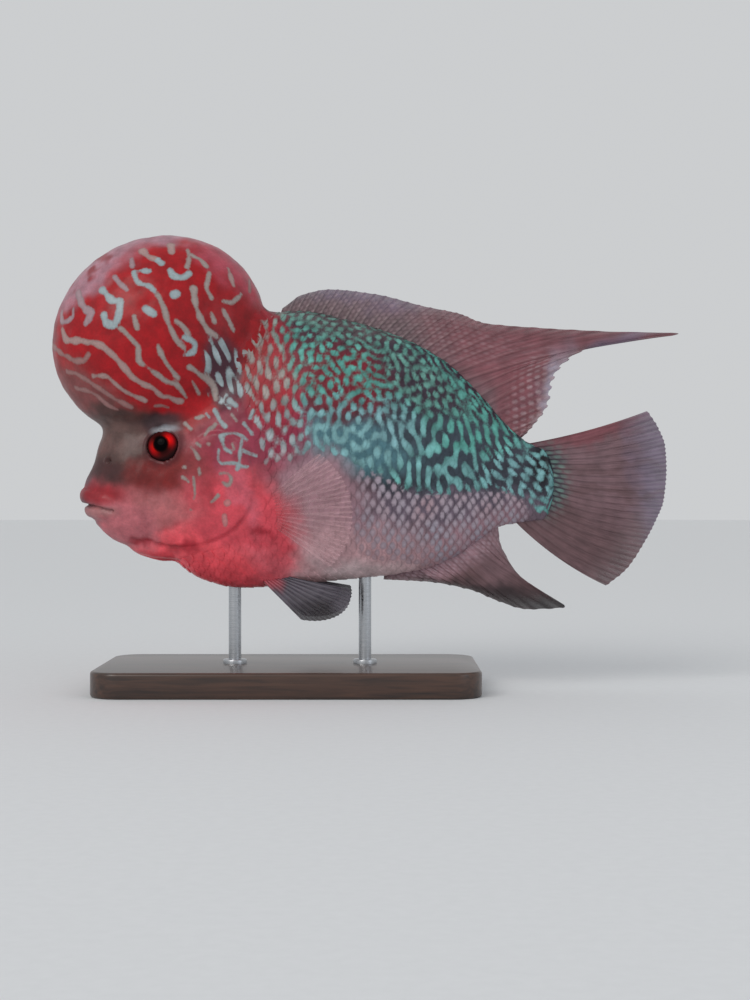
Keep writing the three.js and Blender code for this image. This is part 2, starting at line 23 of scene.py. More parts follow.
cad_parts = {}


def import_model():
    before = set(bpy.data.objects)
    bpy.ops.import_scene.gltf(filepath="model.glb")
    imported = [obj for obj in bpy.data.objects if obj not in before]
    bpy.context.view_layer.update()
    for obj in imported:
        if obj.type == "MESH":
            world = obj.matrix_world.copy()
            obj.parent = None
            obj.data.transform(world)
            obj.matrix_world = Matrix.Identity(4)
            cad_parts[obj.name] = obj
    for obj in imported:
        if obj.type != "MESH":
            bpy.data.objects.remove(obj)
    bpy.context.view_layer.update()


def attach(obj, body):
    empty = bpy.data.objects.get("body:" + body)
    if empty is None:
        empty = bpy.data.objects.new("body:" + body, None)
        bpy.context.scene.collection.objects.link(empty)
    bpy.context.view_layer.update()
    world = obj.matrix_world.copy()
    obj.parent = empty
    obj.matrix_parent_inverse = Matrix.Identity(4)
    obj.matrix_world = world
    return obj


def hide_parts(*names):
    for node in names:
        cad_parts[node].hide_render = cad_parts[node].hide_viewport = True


log = logging.getLogger("flowerhorn")

MM = 0.001
SEED = 41
CLEARED = 2.4  # mm that a mark is sunk by where it mustn't show

Array = np.ndarray
Colour = tuple[float, float, float, float]
Curve = Callable[[Array], Array]


# Small helpers


def linear(hex_code: str) -> Colour:
    """Turns an sRGB hex colour into a linear one.

    Args:
        hex_code: Six hex digits with a leading '#'.

    Returns:
        Linear red, green and blue with an alpha of 1.
    """
    parts = [int(hex_code[i : i + 2], 16) / 255 for i in (1, 3, 5)]
    return (
        *(p / 12.92 if p <= 0.04045 else ((p + 0.055) / 1.055) ** 2.4 for p in parts),
        1.0,
    )


def smoothstep(low: float, high: float, value: Array) -> Array:
    """Returns 0 below low, 1 above high and a smooth step between."""
    t = np.clip((value - low) / (high - low), 0, 1)
    return t * t * (3 - 2 * t)


def ridge(gap: Array, width: float) -> Array:
    """Returns 1 on a line and less away from it, with the given half width."""
    return np.exp(-((gap / width) ** 2))


def hermite(pairs: Sequence[tuple[float, float]]) -> Curve:
    """Makes a smooth curve through points that is flat at its own peaks.

    Args:
        pairs: Points as (place, value), in order of place.

    Returns:
        A function that gives the curve's value at any array of places.
    """
    xs, ys = (np.array([p[i] for p in pairs], float) for i in (0, 1))
    span = np.diff(xs)
    slope = np.diff(ys) / span
    tangent = np.zeros_like(ys)
    same = slope[:-1] * slope[1:] > 0
    total = np.where(same, slope[:-1] + slope[1:], 1.0)
    tangent[1:-1] = np.where(same, 2 * slope[:-1] * slope[1:] / total, 0)
    tangent[0], tangent[-1] = slope[0], slope[-1]

    def value(at: Array) -> Array:
        """Returns the curve's value at each place."""
        x = np.clip(at, xs[0], xs[-1])
        i = np.clip(np.searchsorted(xs, x, side="right") - 1, 0, len(xs) - 2)
        t = (x - xs[i]) / span[i]
        t2, t3 = t * t, t * t * t
        return (
            (2 * t3 - 3 * t2 + 1) * ys[i]
            + (t3 - 2 * t2 + t) * span[i] * tangent[i]
            + (3 * t2 - 2 * t3) * ys[i + 1]
            + (t3 - t2) * span[i] * tangent[i + 1]
        )

    return value


def unit(vectors: Array) -> Array:
    """Returns the vectors at length 1."""
    return vectors / (np.linalg.norm(vectors, axis=-1, keepdims=True) + 1e-12)


def bilinear(table: Array, i: Array, j: Array) -> Array:
    """Reads a table between its cells.

    Args:
        table: Values by row and column, each a number or a point.
        i: Places along the rows.
        j: Places along the columns.

    Returns:
        The table's values at those places.
    """
    i = np.clip(i, 0, table.shape[0] - 1.001)
    j = np.clip(j, 0, table.shape[1] - 1.001)
    i0, j0 = i.astype(int), j.astype(int)
    fi, fj = i - i0, j - j0
    if table.ndim == 3:
        fi, fj = fi[..., None], fj[..., None]
    low = table[i0, j0] * (1 - fj) + table[i0, j0 + 1] * fj
    high = table[i0 + 1, j0] * (1 - fj) + table[i0 + 1, j0 + 1] * fj
    return low * (1 - fi) + high * fi


def waver(points: Array, scale: float, seed: int) -> Array:
    """A smooth random value between about -1 and 1 at each point.

    Args:
        points: Places in millimetres.
        scale: About how far apart its highs are, in millimetres.
        seed: Which random field.

    Returns:
        One value for each point.
    """
    draw = np.random.default_rng(seed)
    waves = unit(draw.normal(size=(9, 3))) * draw.uniform(0.7, 1.4, (9, 1))
    phase = draw.uniform(0, 2 * np.pi, 9)
    return np.sin(points @ (waves.T * 2 * np.pi / scale) + phase).sum(-1) / 4.2


def turned(x: Array, z: Array, tilt: float) -> tuple[Array, Array]:
    """Reads places, or the waves of a pattern, in tilted axes.

    Args:
        x: Their parts along the fish.
        z: Their parts across its length.
        tilt: The tilt in degrees.

    Returns:
        Their parts along and across the tilted axes.
    """
    turn = math.radians(tilt)
    cos, sin = math.cos(turn), math.sin(turn)
    return x * cos + z * sin, z * cos - x * sin


def nearest_tree(points: Array) -> KDTree:
    """Makes a tree that finds the nearest of many points.

    Args:
        points: The points.

    Returns:
        The tree, which gives a point's number in the array.
    """
    tree = KDTree(len(points))
    for number, point in enumerate(points):
        tree.insert(point, number)
    tree.balance()
    return tree


def clear_selection() -> None:
    """Leaves object mode with nothing selected."""
    if bpy.context.object and bpy.context.object.mode != "OBJECT":
        bpy.ops.object.mode_set(mode="OBJECT")
    bpy.ops.object.select_all(action="DESELECT")


def activate(obj: bpy.types.Object) -> None:
    """Makes an object the only selected one, and the active one.

    Args:
        obj: The object.
    """
    clear_selection()
    obj.select_set(True)
    bpy.context.view_layer.objects.active = obj


def read_points(mesh: bpy.types.Mesh) -> Array:
    """Reads a mesh's vertices.

    Args:
        mesh: The mesh.

    Returns:
        A point for each vertex.
    """
    flat = np.empty(len(mesh.vertices) * 3)
    mesh.vertices.foreach_get("co", flat)
    return flat.reshape(-1, 3)


def write_points(mesh: bpy.types.Mesh, points: Array) -> None:
    """Moves a mesh's vertices to the given points, in metres."""
    mesh.vertices.foreach_set("co", np.ascontiguousarray(points, float).ravel())
    mesh.update()


def write_number(mesh: bpy.types.Mesh, name: str, values: Array) -> None:
    """Stores one number for each vertex."""
    attribute = mesh.attributes.new(name, "FLOAT", "POINT")
    attribute.data.foreach_set("value", np.ascontiguousarray(values, np.float32))


def write_colour(mesh: bpy.types.Mesh, name: str, values: Array) -> None:
    """Stores one linear colour for each vertex.

    Args:
        mesh: The mesh.
        name: The attribute's name.
        values: The colours.
    """
    full = np.ones((len(values), 4), np.float32)
    full[:, :3] = values[:, :3]
    attribute = mesh.attributes.new(name, "FLOAT_COLOR", "POINT")
    attribute.data.foreach_set("color", full.ravel())


def finish_piece(obj: bpy.types.Object, slot: str, *nodes: str) -> None:
    """Rides a finished piece on the frame in place of its CAD nodes.

    Args:
        obj: The piece, with its place in its mesh.
        slot: The name of a material slot; not used.
        *nodes: The CAD nodes that it stands for.
    """
    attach(obj, "root")
    if nodes:
        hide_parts(*nodes)
    triangles = sum(len(p.vertices) - 2 for p in obj.data.polygons)
    log.info("%s: %d triangles", obj.name, triangles)


# The body's form


@dataclass(frozen=True)
class Lobe:
    """An ellipsoid of flesh, tilted in the side view."""

    centre: tuple[float, float, float]
    radii: tuple[float, float, float]
    tilt: float = 0.0

    def distance(self, p: Array) -> Array:
        """Works out the distance of points to the lobe.

        Args:
            p: The points.

        Returns:
            A distance for each, negative inside.
        """
        along, up = turned(p[..., 0] - self.centre[0], p[..., 2] - self.centre[2], self.tilt)
        local = np.stack([along, p[..., 1] - self.centre[1], up], -1)
        radii = np.array(self.radii)
        near = np.linalg.norm(local / radii, axis=-1) + 1e-9
        steep = np.linalg.norm(local / radii**2, axis=-1) + 1e-9
        return near * (near - 1) / steep


def soft_join(a: Array, b: Array, blend: float) -> Array:
    """Joins two distances with a soft fillet about blend wide."""
    share = np.clip(0.5 + 0.5 * (b - a) / blend, 0, 1)
    return b + (a - b) * share - blend * share * (1 - share)


@dataclass
class BodyForm:
    """The fish's body as one smooth form: a trunk with lobes for hump, muzzle and throat."""

    head_end: float = -55.0
    stalk_end: float = 100.0
    face_cap: float = 24.0
    stalk_cap: float = 5.5
    core: tuple[float, float, float] = (-45.0, 0.0, 115.0)
    hump: Lobe = Lobe((-52.2, 0, 140.6), (43.4, 29.5, 39.2), 28)
    muzzle: Lobe = Lobe((-71, 0, 78), (11, 8.5, 9.5))
    chin: Lobe = Lobe((-66.5, 0, 68), (14.5, 9.5, 9), -35)
    throat: Lobe = Lobe((-51.5, 0, 56.5), (13, 9, 5.4), -8)

    def __post_init__(self) -> None:
        """Sets up the side outline and the half width of the trunk."""
        self.back = hermite(
            [(-55, 117), (-35, 137), (-12, 149.5), (4, 150.8), (24, 147), (44, 140.5)]
            + [(62, 130.8), (76, 117.5), (88, 104), (95, 98.5), (100, 96)]
        )
        self.belly = hermite(
            [(-55, 56.5), (-46, 51), (-36, 43.8), (-20, 40), (10, 42.2), (37, 44.8)]
            + [(54, 47.6), (66, 52.5), (76, 59.5), (84, 64.6), (92, 66), (100, 67)]
        )
        self.widest = hermite([(-55, 80), (-20, 88), (20, 92), (60, 91), (85, 84), (100, 81)])
        self.half = hermite(
            [(-55, 17.5), (-35, 20.5), (-12, 23.2), (10, 23.5), (34, 21), (56, 15.5)]
            + [(76, 9.6), (90, 6), (100, 3.8)]
        )
        self.middle = hermite([(-45, 115), (-10, 97), (20, 93), (60, 91), (85, 84), (106, 81)])

    def trunk(self, p: Array) -> Array:
        """Works out the distance of points to the trunk.

        Args:
            p: The points.

        Returns:
            A distance for each, negative inside.
        """
        x, y, z = p[..., 0], p[..., 1], p[..., 2]
        at = np.clip(x, self.head_end, self.stalk_end)
        middle, half = self.widest(at), self.half(at)
        tall = np.where(z > middle, self.back(at) - middle, middle - self.belly(at))
        cap = np.where(x < self.head_end, self.face_cap, self.stalk_cap)
        u, v, w = (x - at) / cap, y / half, (z - middle) / tall
        near = np.sqrt(u * u + v * v + w * w) + 1e-9
        steep = np.sqrt((u / cap) ** 2 + (v / half) ** 2 + (w / tall) ** 2) / near + 1e-9
        return (near - 1) / steep

    def distance(self, p: Array) -> Array:
        """Works out the distance of points to the whole body.

        Args:
            p: The points.

        Returns:
            A distance for each, negative inside.
        """
        d = self.trunk(p)
        for lobe, blend in ((self.muzzle, 6), (self.chin, 4), (self.throat, 1.2), (self.hump, 5)):
            d = soft_join(d, lobe.distance(p), blend)
        return d

    def cast(self, start: Array, ray: Array, reach: float = 90.0) -> Array:
        """Finds where rays from inside the body leave its surface.

        Args:
            start: Where each ray starts.
            ray: The direction of each ray, at length 1.
            reach: The longest way that is tried.

        Returns:
            The surface points.
        """
        start, ray = np.broadcast_arrays(start, ray)
        inside = np.zeros(ray.shape[:-1])
        outside = np.full(ray.shape[:-1], reach)
        for _ in range(24):
            t = (inside + outside) / 2
            within = self.distance(start + ray * t[..., None]) < 0
            inside, outside = np.where(within, t, inside), np.where(within, outside, t)
        return start + ray * inside[..., None]

    def side(self, x: Array, z: Array, side: float) -> Array:
        """Finds surface points on one side of the body from their place in the side view.

        Args:
            x: Places along the fish.
            z: Their heights.
            side: -1 for the left side and 1 for the right.

        Returns:
            The surface points.
        """
        x, z = np.atleast_1d(x).astype(float), np.atleast_1d(z).astype(float)
        start = np.stack([x, np.zeros_like(x), z], -1)
        return self.cast(start, np.array([0.0, side, 0.0]), 40)

    def normal(self, p: Array) -> Array:
        """Returns the outward direction of the surface at each point."""
        steps = np.eye(3) * 0.05
        return unit(
            np.stack([self.distance(p + s) - self.distance(p - s) for s in steps], -1)
        )


# Colours


class Tone(Enum):
    """The named colours of the living fish, with some painted shade and a painted highlight, as
    sRGB hex.
    """

    HUMP_RED = "#9e0c16"
    HUMP_DEEP = "#820b13"
    RIM_PINK = "#a67986"
    RIM_ROSE = "#a84a5a"
    RIM_LEFT = "#8a4a50"
    LOW_HUMP = "#7c4646"
    BROWN = "#4c332f"
    BROWN_GREY = "#6b5450"
    SNOUT = "#442527"
    # painted highlight: a pale crescent along the rim above the eye
    BROW_HIGHLIGHT = "#8f9096"
    BROW_DARK = "#3b2a2e"
    # painted shade: the skin round the sunk eye made darker
    SOCKET = "#4a2226"
    UNDER_EYE = "#751c1c"
    CHEEK = "#9e4d53"
    CHEEK_RED = "#962c36"
    CHEEK_PALE = "#b87476"
    JAW = "#bd6a72"
    LIP_DARK = "#931c26"
    LIP_PALE = "#a36f70"
    THROAT = "#e85560"
    BREAST = "#d04a57"
    BREAST_PINK = "#e26e79"
    GILL_FLAP = "#c45d6c"
    # painted shade: dark red laid in creases, at the pectoral fin's root and under the gill
    # cover's lower edge
    CREASE_SHADE = "#9c1c2c"
    BELLY = "#caa1a7"
    BELLY_PALE = "#e0c8cb"
    NAPE = "#8a2a45"
    NAPE_RED = "#9c1424"
    BACK = "#372c38"
    BACK_RED = "#7c1626"
    BACK_OLIVE = "#5a4d50"
    FLANK = "#37424c"
    FLANK_BLUE = "#4f7a84"
    LOWER = "#8b737e"
    UNDER_TEAL = "#685c6b"
    MAUVE = "#a8828c"
    STALK = "#373b45"
    SPOT = "#14131a"
    CREAM = "#988a86"
    CREAM_WARM = "#936b69"
    CREAM_PINK = "#a08380"
    MAUVE_MARK = "#9a8288"
    ICE = "#93a0a4"
    TEAL = "#569d93"
    TEAL_PALE = "#7aa3aa"
    TEAL_GREY = "#65857d"
    PEARL = "#a29aa7"
    PEARL_PINK = "#a9929c"
    FIN_PLUM = "#74595f"
    FIN_RED = "#7c444c"
    FIN_VIOLET = "#75687f"
    FIN_BROWN = "#604649"
    FIN_BLACK = "#1b1518"
    FIN_GREY = "#55505a"
    FIN_PALE = "#a7a0b4"
    FIN_SPOT = "#a58c92"

    @property
    def rgb(self) -> Array:
        """The linear colour."""
        return np.array(linear(self.value)[:3])


@dataclass(frozen=True)
class Wash:
    """A soft-edged ellipse of colour, laid on in the side view."""

    tone: Tone
    centre: tuple[float, float]
    radii: tuple[float, float]
    tilt: float = 0.0
    soft: float = 0.35
    strength: float = 1.0

    def share(self, x: Array, z: Array) -> Array:
        """Works out how much of this wash lies at each place.

        Args:
            x: Places along the fish.
            z: Their heights.

        Returns:
            A share for each.
        """
        along, up = turned(x - self.centre[0], z - self.centre[1], self.tilt)
        near = np.hypot(along / self.radii[0], up / self.radii[1])
        return self.strength * smoothstep(1 + self.soft, 1 - self.soft, near)


# Laid on in this order: a later wash lies over the earlier ones.
GROUND: tuple[Wash, ...] = (
    Wash(Tone.LOWER, (50, 70), (75, 34), -4, 0.25),
    Wash(Tone.BACK, (34, 118), (66, 40), -18, 0.12),
    Wash(Tone.FLANK, (56, 94), (50, 16), -6, 0.3),
    Wash(Tone.STALK, (92, 86), (19, 20), 0, 0.25),
    Wash(Tone.UNDER_TEAL, (64, 72.5), (44, 6.5), 0, 0.5, 0.85),
    Wash(Tone.FLANK_BLUE, (18, 96), (30, 10), -8, 0.4, 0.85),
    Wash(Tone.NAPE, (-12, 112), (19, 36), 8, 0.25),
    Wash(Tone.NAPE_RED, (-10, 128), (13, 26), 8, 0.4, 0.9),
    Wash(Tone.BACK_RED, (20, 122), (19, 14), -12, 0.5, 0.8),
    Wash(Tone.BACK_OLIVE, (26, 146), (34, 6), -8, 0.5, 0.7),
    Wash(Tone.MAUVE, (10, 72), (20, 20), 0, 0.4),
    Wash(Tone.MAUVE, (72, 58), (26, 9), 26, 0.4, 0.7),
    Wash(Tone.BELLY, (16, 50), (42, 14), 0, 0.5),
    Wash(Tone.BELLY_PALE, (16, 44), (38, 7), 0, 0.6),
    Wash(Tone.CHEEK, (-42, 84), (36, 28), 0, 0.25),
    Wash(Tone.NAPE, (-20, 96), (15, 12), 0, 0.5, 0.7),
    Wash(Tone.BREAST, (-22, 60), (27, 25), -10, 0.25),
    Wash(Tone.BREAST_PINK, (-14, 48), (22, 8), -4, 0.5, 0.7),
    Wash(Tone.GILL_FLAP, (-17, 76), (3.5, 14), 20, 0.6, 0.7),
    # painted shade in the crease at the pectoral fin's root
    Wash(Tone.CREASE_SHADE, (-9.6, 63), (5, 1.4), 0, 0.6, 0.8),
    Wash(Tone.THROAT, (-42, 52), (32, 11), -14, 0.3),
    Wash(Tone.CHEEK_PALE, (-50, 72), (15, 8), -6, 0.6, 0.6),
    Wash(Tone.CHEEK_RED, (-31, 82), (4, 14), -4, 0.6, 0.6),
    Wash(Tone.JAW, (-64, 66), (15, 10), -24, 0.35),
    Wash(Tone.BROWN, (-68, 97), (19, 15), -28, 0.22),
    Wash(Tone.BROWN_GREY, (-64, 99), (9, 7), 0, 0.6, 0.8),
    Wash(Tone.SNOUT, (-72, 87), (12, 5), -10, 0.5, 0.8),
    Wash(Tone.UNDER_EYE, (-49, 87), (14, 8), 14, 0.5),
    Wash(Tone.HUMP_RED, (-52, 141), (44, 40), 28, 0.07),
    Wash(Tone.HUMP_DEEP, (-24, 138), (14, 22), 20, 0.6, 0.7),
    Wash(Tone.LOW_HUMP, (-80, 114), (19, 11), -35, 0.5, 0.9),
    Wash(Tone.RIM_LEFT, (-96, 138), (6, 28), -10, 0.7, 0.8),
    Wash(Tone.RIM_PINK, (-79, 167), (27, 10.5), 38, 0.4, 0.95),
    Wash(Tone.HUMP_DEEP, (-77, 164.5), (2.5, 1.3), 10, 0.5, 0.8),
    Wash(Tone.HUMP_DEEP, (-73, 171), (4, 3), -40, 0.5, 0.7),
    Wash(Tone.HUMP_DEEP, (-89, 160), (2.2, 5), -20, 0.5, 0.7),
    Wash(Tone.RIM_PINK, (-50, 183), (32, 8), 0, 0.5, 0.95),
    Wash(Tone.RIM_ROSE, (-22, 172), (22, 10), -48, 0.5, 0.8),
    Wash(Tone.RIM_PINK, (-15, 176), (24, 6), -50, 0.5, 0.8),
    Wash(Tone.BROWN, (-63, 105), (18, 7), -6, 0.4, 0.97),
    Wash(Tone.BROWN_GREY, (-66, 101), (10, 5), -10, 0.6, 0.6),
    Wash(Tone.BACK, (-25, 124), (7, 15), 8, 0.35, 0.85),
    # painted shade round the eye's socket
    Wash(Tone.SOCKET, (-48.5, 97), (9.5, 8.5), 0, 0.3, 0.8),
    # painted shade along the creases at the gill cover's lower edge
    Wash(Tone.CREASE_SHADE, (-57, 59), (4, 1.6), -10, 0.6, 0.8),
    Wash(Tone.CREASE_SHADE, (-40, 55.5), (5, 2.4), 12, 0.6, 0.7),
    Wash(Tone.BROW_DARK, (-49, 106), (9, 3.5), 6, 0.5, 0.9),
    # painted highlight on the rim above the eye
    Wash(Tone.BROW_HIGHLIGHT, (-48, 102.8), (5.8, 1.5), 10, 0.5, 0.9),
    Wash(Tone.SPOT, (100, 88), (5.5, 8), 0, 0.4),
    Wash(Tone.LIP_DARK, (-74, 77.8), (11, 3.6), -8, 0.6, 0.9),
    Wash(Tone.LIP_PALE, (-75, 71.6), (8, 2.0), -8, 0.5, 0.9),
)

MARK_TONES: tuple[Wash, ...] = (
    Wash(Tone.TEAL_PALE, (22, 100), (32, 14), -6, 0.4, 0.85),
    Wash(Tone.TEAL_PALE, (70, 84), (30, 9), 0, 0.5, 0.6),
    Wash(Tone.TEAL_PALE, (95, 84), (14, 14), 0, 0.5, 0.7),
    Wash(Tone.TEAL_PALE, (40, 106), (16, 8), -20, 0.7, 0.6),
    Wash(Tone.TEAL_GREY, (48, 124), (22, 8), -34, 0.6, 0.6),
    Wash(Tone.TEAL_GREY, (22, 147), (34, 8), -8, 0.5, 0.8),
    Wash(Tone.CREAM, (-12, 118), (13, 42), 6, 0.35, 0.95),
    Wash(Tone.MAUVE_MARK, (-8, 92), (12, 10), 0, 0.5, 0.9),
    Wash(Tone.ICE, (-8, 103), (12, 10), 0, 0.5, 0.8),
    Wash(Tone.ICE, (-25, 124), (9, 19), 8, 0.3),
)


def lay_washes(points: Array, base: Tone, washes: Iterable[Wash]) -> Array:
    """Lays washes of colour over a surface, with edges that stray as living pigment does.

    Args:
        points: Places on the fish, in millimetres.
        base: The colour under all washes.
        washes: The washes, in the order in which they are laid on.

    Returns:
        A linear colour for each point.
    """
    lips = ridge(np.hypot(points[:, 0] + 72, points[:, 2] - 76), 12)
    brow = ridge(np.hypot(points[:, 0] + 48, points[:, 2] - 99), 11)
    stray = 1 - 0.85 * np.maximum(lips, brow)
    x = points[:, 0] + stray * (1.8 * waver(points, 17, 3) + 1.3 * waver(points, 6, 4))
    z = points[:, 2] + stray * (1.8 * waver(points, 17, 5) + 1.3 * waver(points, 6, 6))
    colour = np.tile(base.rgb, (len(points), 1))
    for wash in washes:
        share = wash.share(x, z)[:, None]
        colour = colour * (1 - share) + wash.tone.rgb * share
    return colour


# Markings


@dataclass(frozen=True)
class Stroke:
    """One mark that lies where it does on the real fish, through places in the side view."""

    tone: Tone
    radius: float
    path: tuple[tuple[float, float], ...]


STROKES: tuple[Stroke, ...] = (
    # On the hump, from the front to the nape
    Stroke(Tone.MAUVE_MARK, 1.0, ((-89.6, 148.8), (-88, 144.8), (-83.6, 146.4), (-83.6, 149.6))),
    Stroke(Tone.MAUVE_MARK, 1.5, ((-82, 156.4), (-78.4, 149.6), (-75.2, 147.2), (-77.8, 143.6))),
    Stroke(Tone.ICE, 1.4, ((-71.6, 156.4), (-68.4, 153.2), (-64, 150.8), (-64.4, 146.4),
                           (-66.4, 142.4), (-69.2, 142.8), (-70.4, 146))),
    Stroke(Tone.CREAM, 0.95, ((-64, 141.2), (-58.4, 136), (-56.8, 133.6), (-56.8, 129.6),
                              (-52.8, 125.6), (-47.2, 121.6), (-42.4, 119.2), (-39.2, 115.2))),
    Stroke(Tone.MAUVE_MARK, 1.0, ((-66.8, 161.6), (-64, 158.4), (-61.6, 156))),
    Stroke(Tone.MAUVE_MARK, 1.0, ((-60.8, 168.8), (-60, 166))),
    Stroke(Tone.ICE, 1.1, ((-53.2, 164), (-59.2, 163.2), (-57.6, 159.2), (-52.8, 157.2),
                           (-50.8, 155.6))),
    Stroke(Tone.CREAM_PINK, 1.2, ((-56.8, 172.8), (-53.6, 169.6), (-51.6, 168.8))),
    Stroke(Tone.ICE, 1.5, ((-50.4, 168.4), (-48.8, 167.2))),
    Stroke(Tone.CREAM, 1.0, ((-49.6, 154), (-47.2, 149.6), (-45.6, 144), (-43.2, 138.4),
                             (-39.2, 133.6))),
    Stroke(Tone.CREAM_PINK, 1.3, ((-46, 175.2), (-45.2, 171.6))),
    Stroke(Tone.CREAM, 0.9, ((-39.2, 172.8), (-38.4, 169.6), (-38.8, 165.6))),
    Stroke(Tone.CREAM, 1.0, ((-37.6, 170.8), (-33.6, 168.4), (-31.6, 166))),
    Stroke(Tone.ICE, 1.4, ((-45.2, 164), (-43.6, 161.6), (-40.8, 161.2), (-38, 162.8))),
    Stroke(Tone.ICE, 1.7, ((-43.2, 154.4), (-42.4, 154.6))),
    Stroke(Tone.ICE, 1.6, ((-54, 148.8), (-50.8, 146.8))),
    Stroke(Tone.CREAM, 1.1, ((-58.4, 145.6), (-57.2, 141.2))),
    Stroke(Tone.CREAM, 0.9, ((-49.2, 134.4), (-47.2, 129.6), (-44, 124.8), (-42, 122.4))),
    Stroke(Tone.CREAM, 1.1, ((-36, 156.8), (-35.2, 151.2), (-33.2, 145.6), (-30.4, 140.8),
                             (-27.2, 138.4))),
    Stroke(Tone.CREAM, 0.9, ((-30.4, 163.2), (-31.2, 157.6), (-29.2, 153.6))),
    Stroke(Tone.CREAM_PINK, 0.9, ((-23.6, 166), (-21.2, 159.2))),
    Stroke(Tone.CREAM, 0.9, ((-24.8, 152), (-20.4, 152.8), (-18.4, 156))),
    Stroke(Tone.CREAM_WARM, 0.8, ((-15.6, 162.4), (-15.6, 157.6))),
    Stroke(Tone.CREAM, 0.9, ((-24.8, 148.8), (-22.4, 144), (-20.8, 140.8))),
    Stroke(Tone.CREAM, 0.8, ((-29.2, 147.2), (-28, 144))),
    Stroke(Tone.CREAM, 0.8, ((-42.4, 144), (-39.2, 141.6), (-37.6, 139.2))),
    Stroke(Tone.ICE, 1.1, ((-39.2, 137.6), (-35.2, 135.2), (-36, 132), (-39.2, 131.2))),
    Stroke(Tone.CREAM, 1.0, ((-37.6, 126.4), (-32.8, 123.2), (-28.8, 119.2), (-28, 114.4))),
    Stroke(Tone.CREAM, 0.6, ((-36.8, 121.6), (-34.4, 116.8))),
    Stroke(Tone.CREAM_PINK, 1.15, ((-88.4, 141.6), (-86.4, 137.6), (-80, 136.8), (-72, 135.2),
                                   (-68, 131.6), (-63.2, 127.2), (-59.2, 122.4),
                                   (-53.6, 119.2), (-47.2, 115.2), (-41.6, 113.6))),
    Stroke(Tone.CREAM_WARM, 1.1, ((-94.4, 136.8), (-90.4, 133.6), (-84.8, 130.4),
                                  (-79.2, 129.2), (-76.8, 131.6))),
    Stroke(Tone.CREAM_PINK, 1.0, ((-75.2, 123.2), (-71.2, 123.2), (-66.4, 120),
                                  (-61.6, 116.8), (-55.2, 113.6))),
    Stroke(Tone.CREAM_WARM, 1.0, ((-86.4, 125.6), (-80, 123.2), (-74.4, 119.2),
                                  (-68, 115.2), (-60.8, 111.2))),
    Stroke(Tone.CREAM_WARM, 0.9, ((-83.2, 119.2), (-76, 116.8), (-69.6, 112), (-66.4, 110.4))),
    Stroke(Tone.CREAM_WARM, 0.7, ((-51.2, 112), (-46.4, 111.2))),
    # On the gill cover behind the eye
    Stroke(Tone.ICE, 0.65, ((-25.6, 100), (-22.4, 101.2), (-17.6, 100), (-15.6, 98.4))),
    Stroke(Tone.ICE, 0.7, ((-25.2, 99.2), (-24.4, 96), (-21.6, 93.6))),
    Stroke(Tone.ICE, 0.65, ((-17.6, 98.4), (-18, 94.4), (-18.4, 90.4), (-19.2, 87.2))),
    Stroke(Tone.ICE, 0.65, ((-26.4, 94.4), (-26.8, 91.2), (-24.8, 89.2), (-20.8, 89.6),
                            (-15.2, 88))),
    Stroke(Tone.ICE, 0.65, ((-16.8, 94), (-12, 92))),
    Stroke(Tone.ICE, 0.8, ((-28.4, 110.4), (-26.4, 106.4), (-24, 104))),
    Stroke(Tone.ICE, 0.95, ((-22.4, 113.6), (-20, 112))),
    Stroke(Tone.ICE, 0.75, ((-14.4, 107.2), (-13.2, 109.6))),
    Stroke(Tone.ICE, 0.75, ((-16.8, 104.8), (-13.6, 100.8))),
    Stroke(Tone.ICE, 0.6, ((-31.6, 109.6), (-30.4, 107.6))),
    Stroke(Tone.CREAM, 0.6, ((-21.6, 108.4), (-19.6, 106))),
    Stroke(Tone.CREAM, 0.6, ((-21.2, 97.2), (-20.4, 95.4))),
    Stroke(Tone.CREAM, 0.7, ((-40, 104.8), (-37.6, 102.8))),
    Stroke(Tone.CREAM, 0.6, ((-36, 107.2), (-32.8, 107.2))),
    Stroke(Tone.CREAM, 0.65, ((-32, 100.8), (-29.6, 103.2), (-28, 104.8))),
    Stroke(Tone.CREAM, 0.6, ((-37.6, 96), (-35.6, 93.6), (-34.4, 91.2))),
    Stroke(Tone.CREAM, 0.55, ((-35.2, 97.6), (-33.6, 96))),
    Stroke(Tone.CREAM_PINK, 0.55, ((-30.6, 96.8), (-30.2, 96.8))),
    Stroke(Tone.CREAM, 0.85, ((-40.4, 88), (-39.8, 88))),
    Stroke(Tone.CREAM, 0.6, ((-40.8, 84), (-38.4, 81.6))),
    Stroke(Tone.CREAM, 0.55, ((-36.4, 84), (-36, 77.6), (-36.4, 75.2))),
    Stroke(Tone.CREAM, 0.55, ((-37.8, 71.6), (-37.4, 71.6))),
    Stroke(Tone.CREAM, 0.55, ((-34.4, 88), (-34, 85.6))),
    Stroke(Tone.CREAM, 0.65, ((-26, 84.8), (-24, 85.6), (-21.6, 83.2), (-23.2, 80.8),
                              (-24.8, 81.6))),
    Stroke(Tone.CREAM, 0.65, ((-26.8, 76.8), (-29.6, 74.4))),
    Stroke(Tone.CHEEK_PALE, 1.2, ((-23.4, 74), (-23, 74.2))),
    Stroke(Tone.CHEEK_PALE, 1.0, ((-24.4, 69.2), (-24, 66))),
)


def gill_edge(z: Array) -> Array:
    """Returns how far forward the scales reach at each height."""
    return hermite([(30, -46), (47, -46), (52, -43), (55.6, -30), (61.5, -19), (71, -12.6),
                    (84, -10.6), (96, -12.4), (110, -17), (127, -21), (140, -15), (156, -10)])(z)


def teal_floor(x: Array) -> Array:
    """Returns how low the turquoise marks reach at each place along the fish."""
    return hermite([(-22, 88), (0, 90), (13, 94), (28, 88), (38, 84.5), (48, 78.5), (60, 77.5),
                    (71, 78.5), (83, 79), (92, 76), (98, 70), (104, 68)])(x)


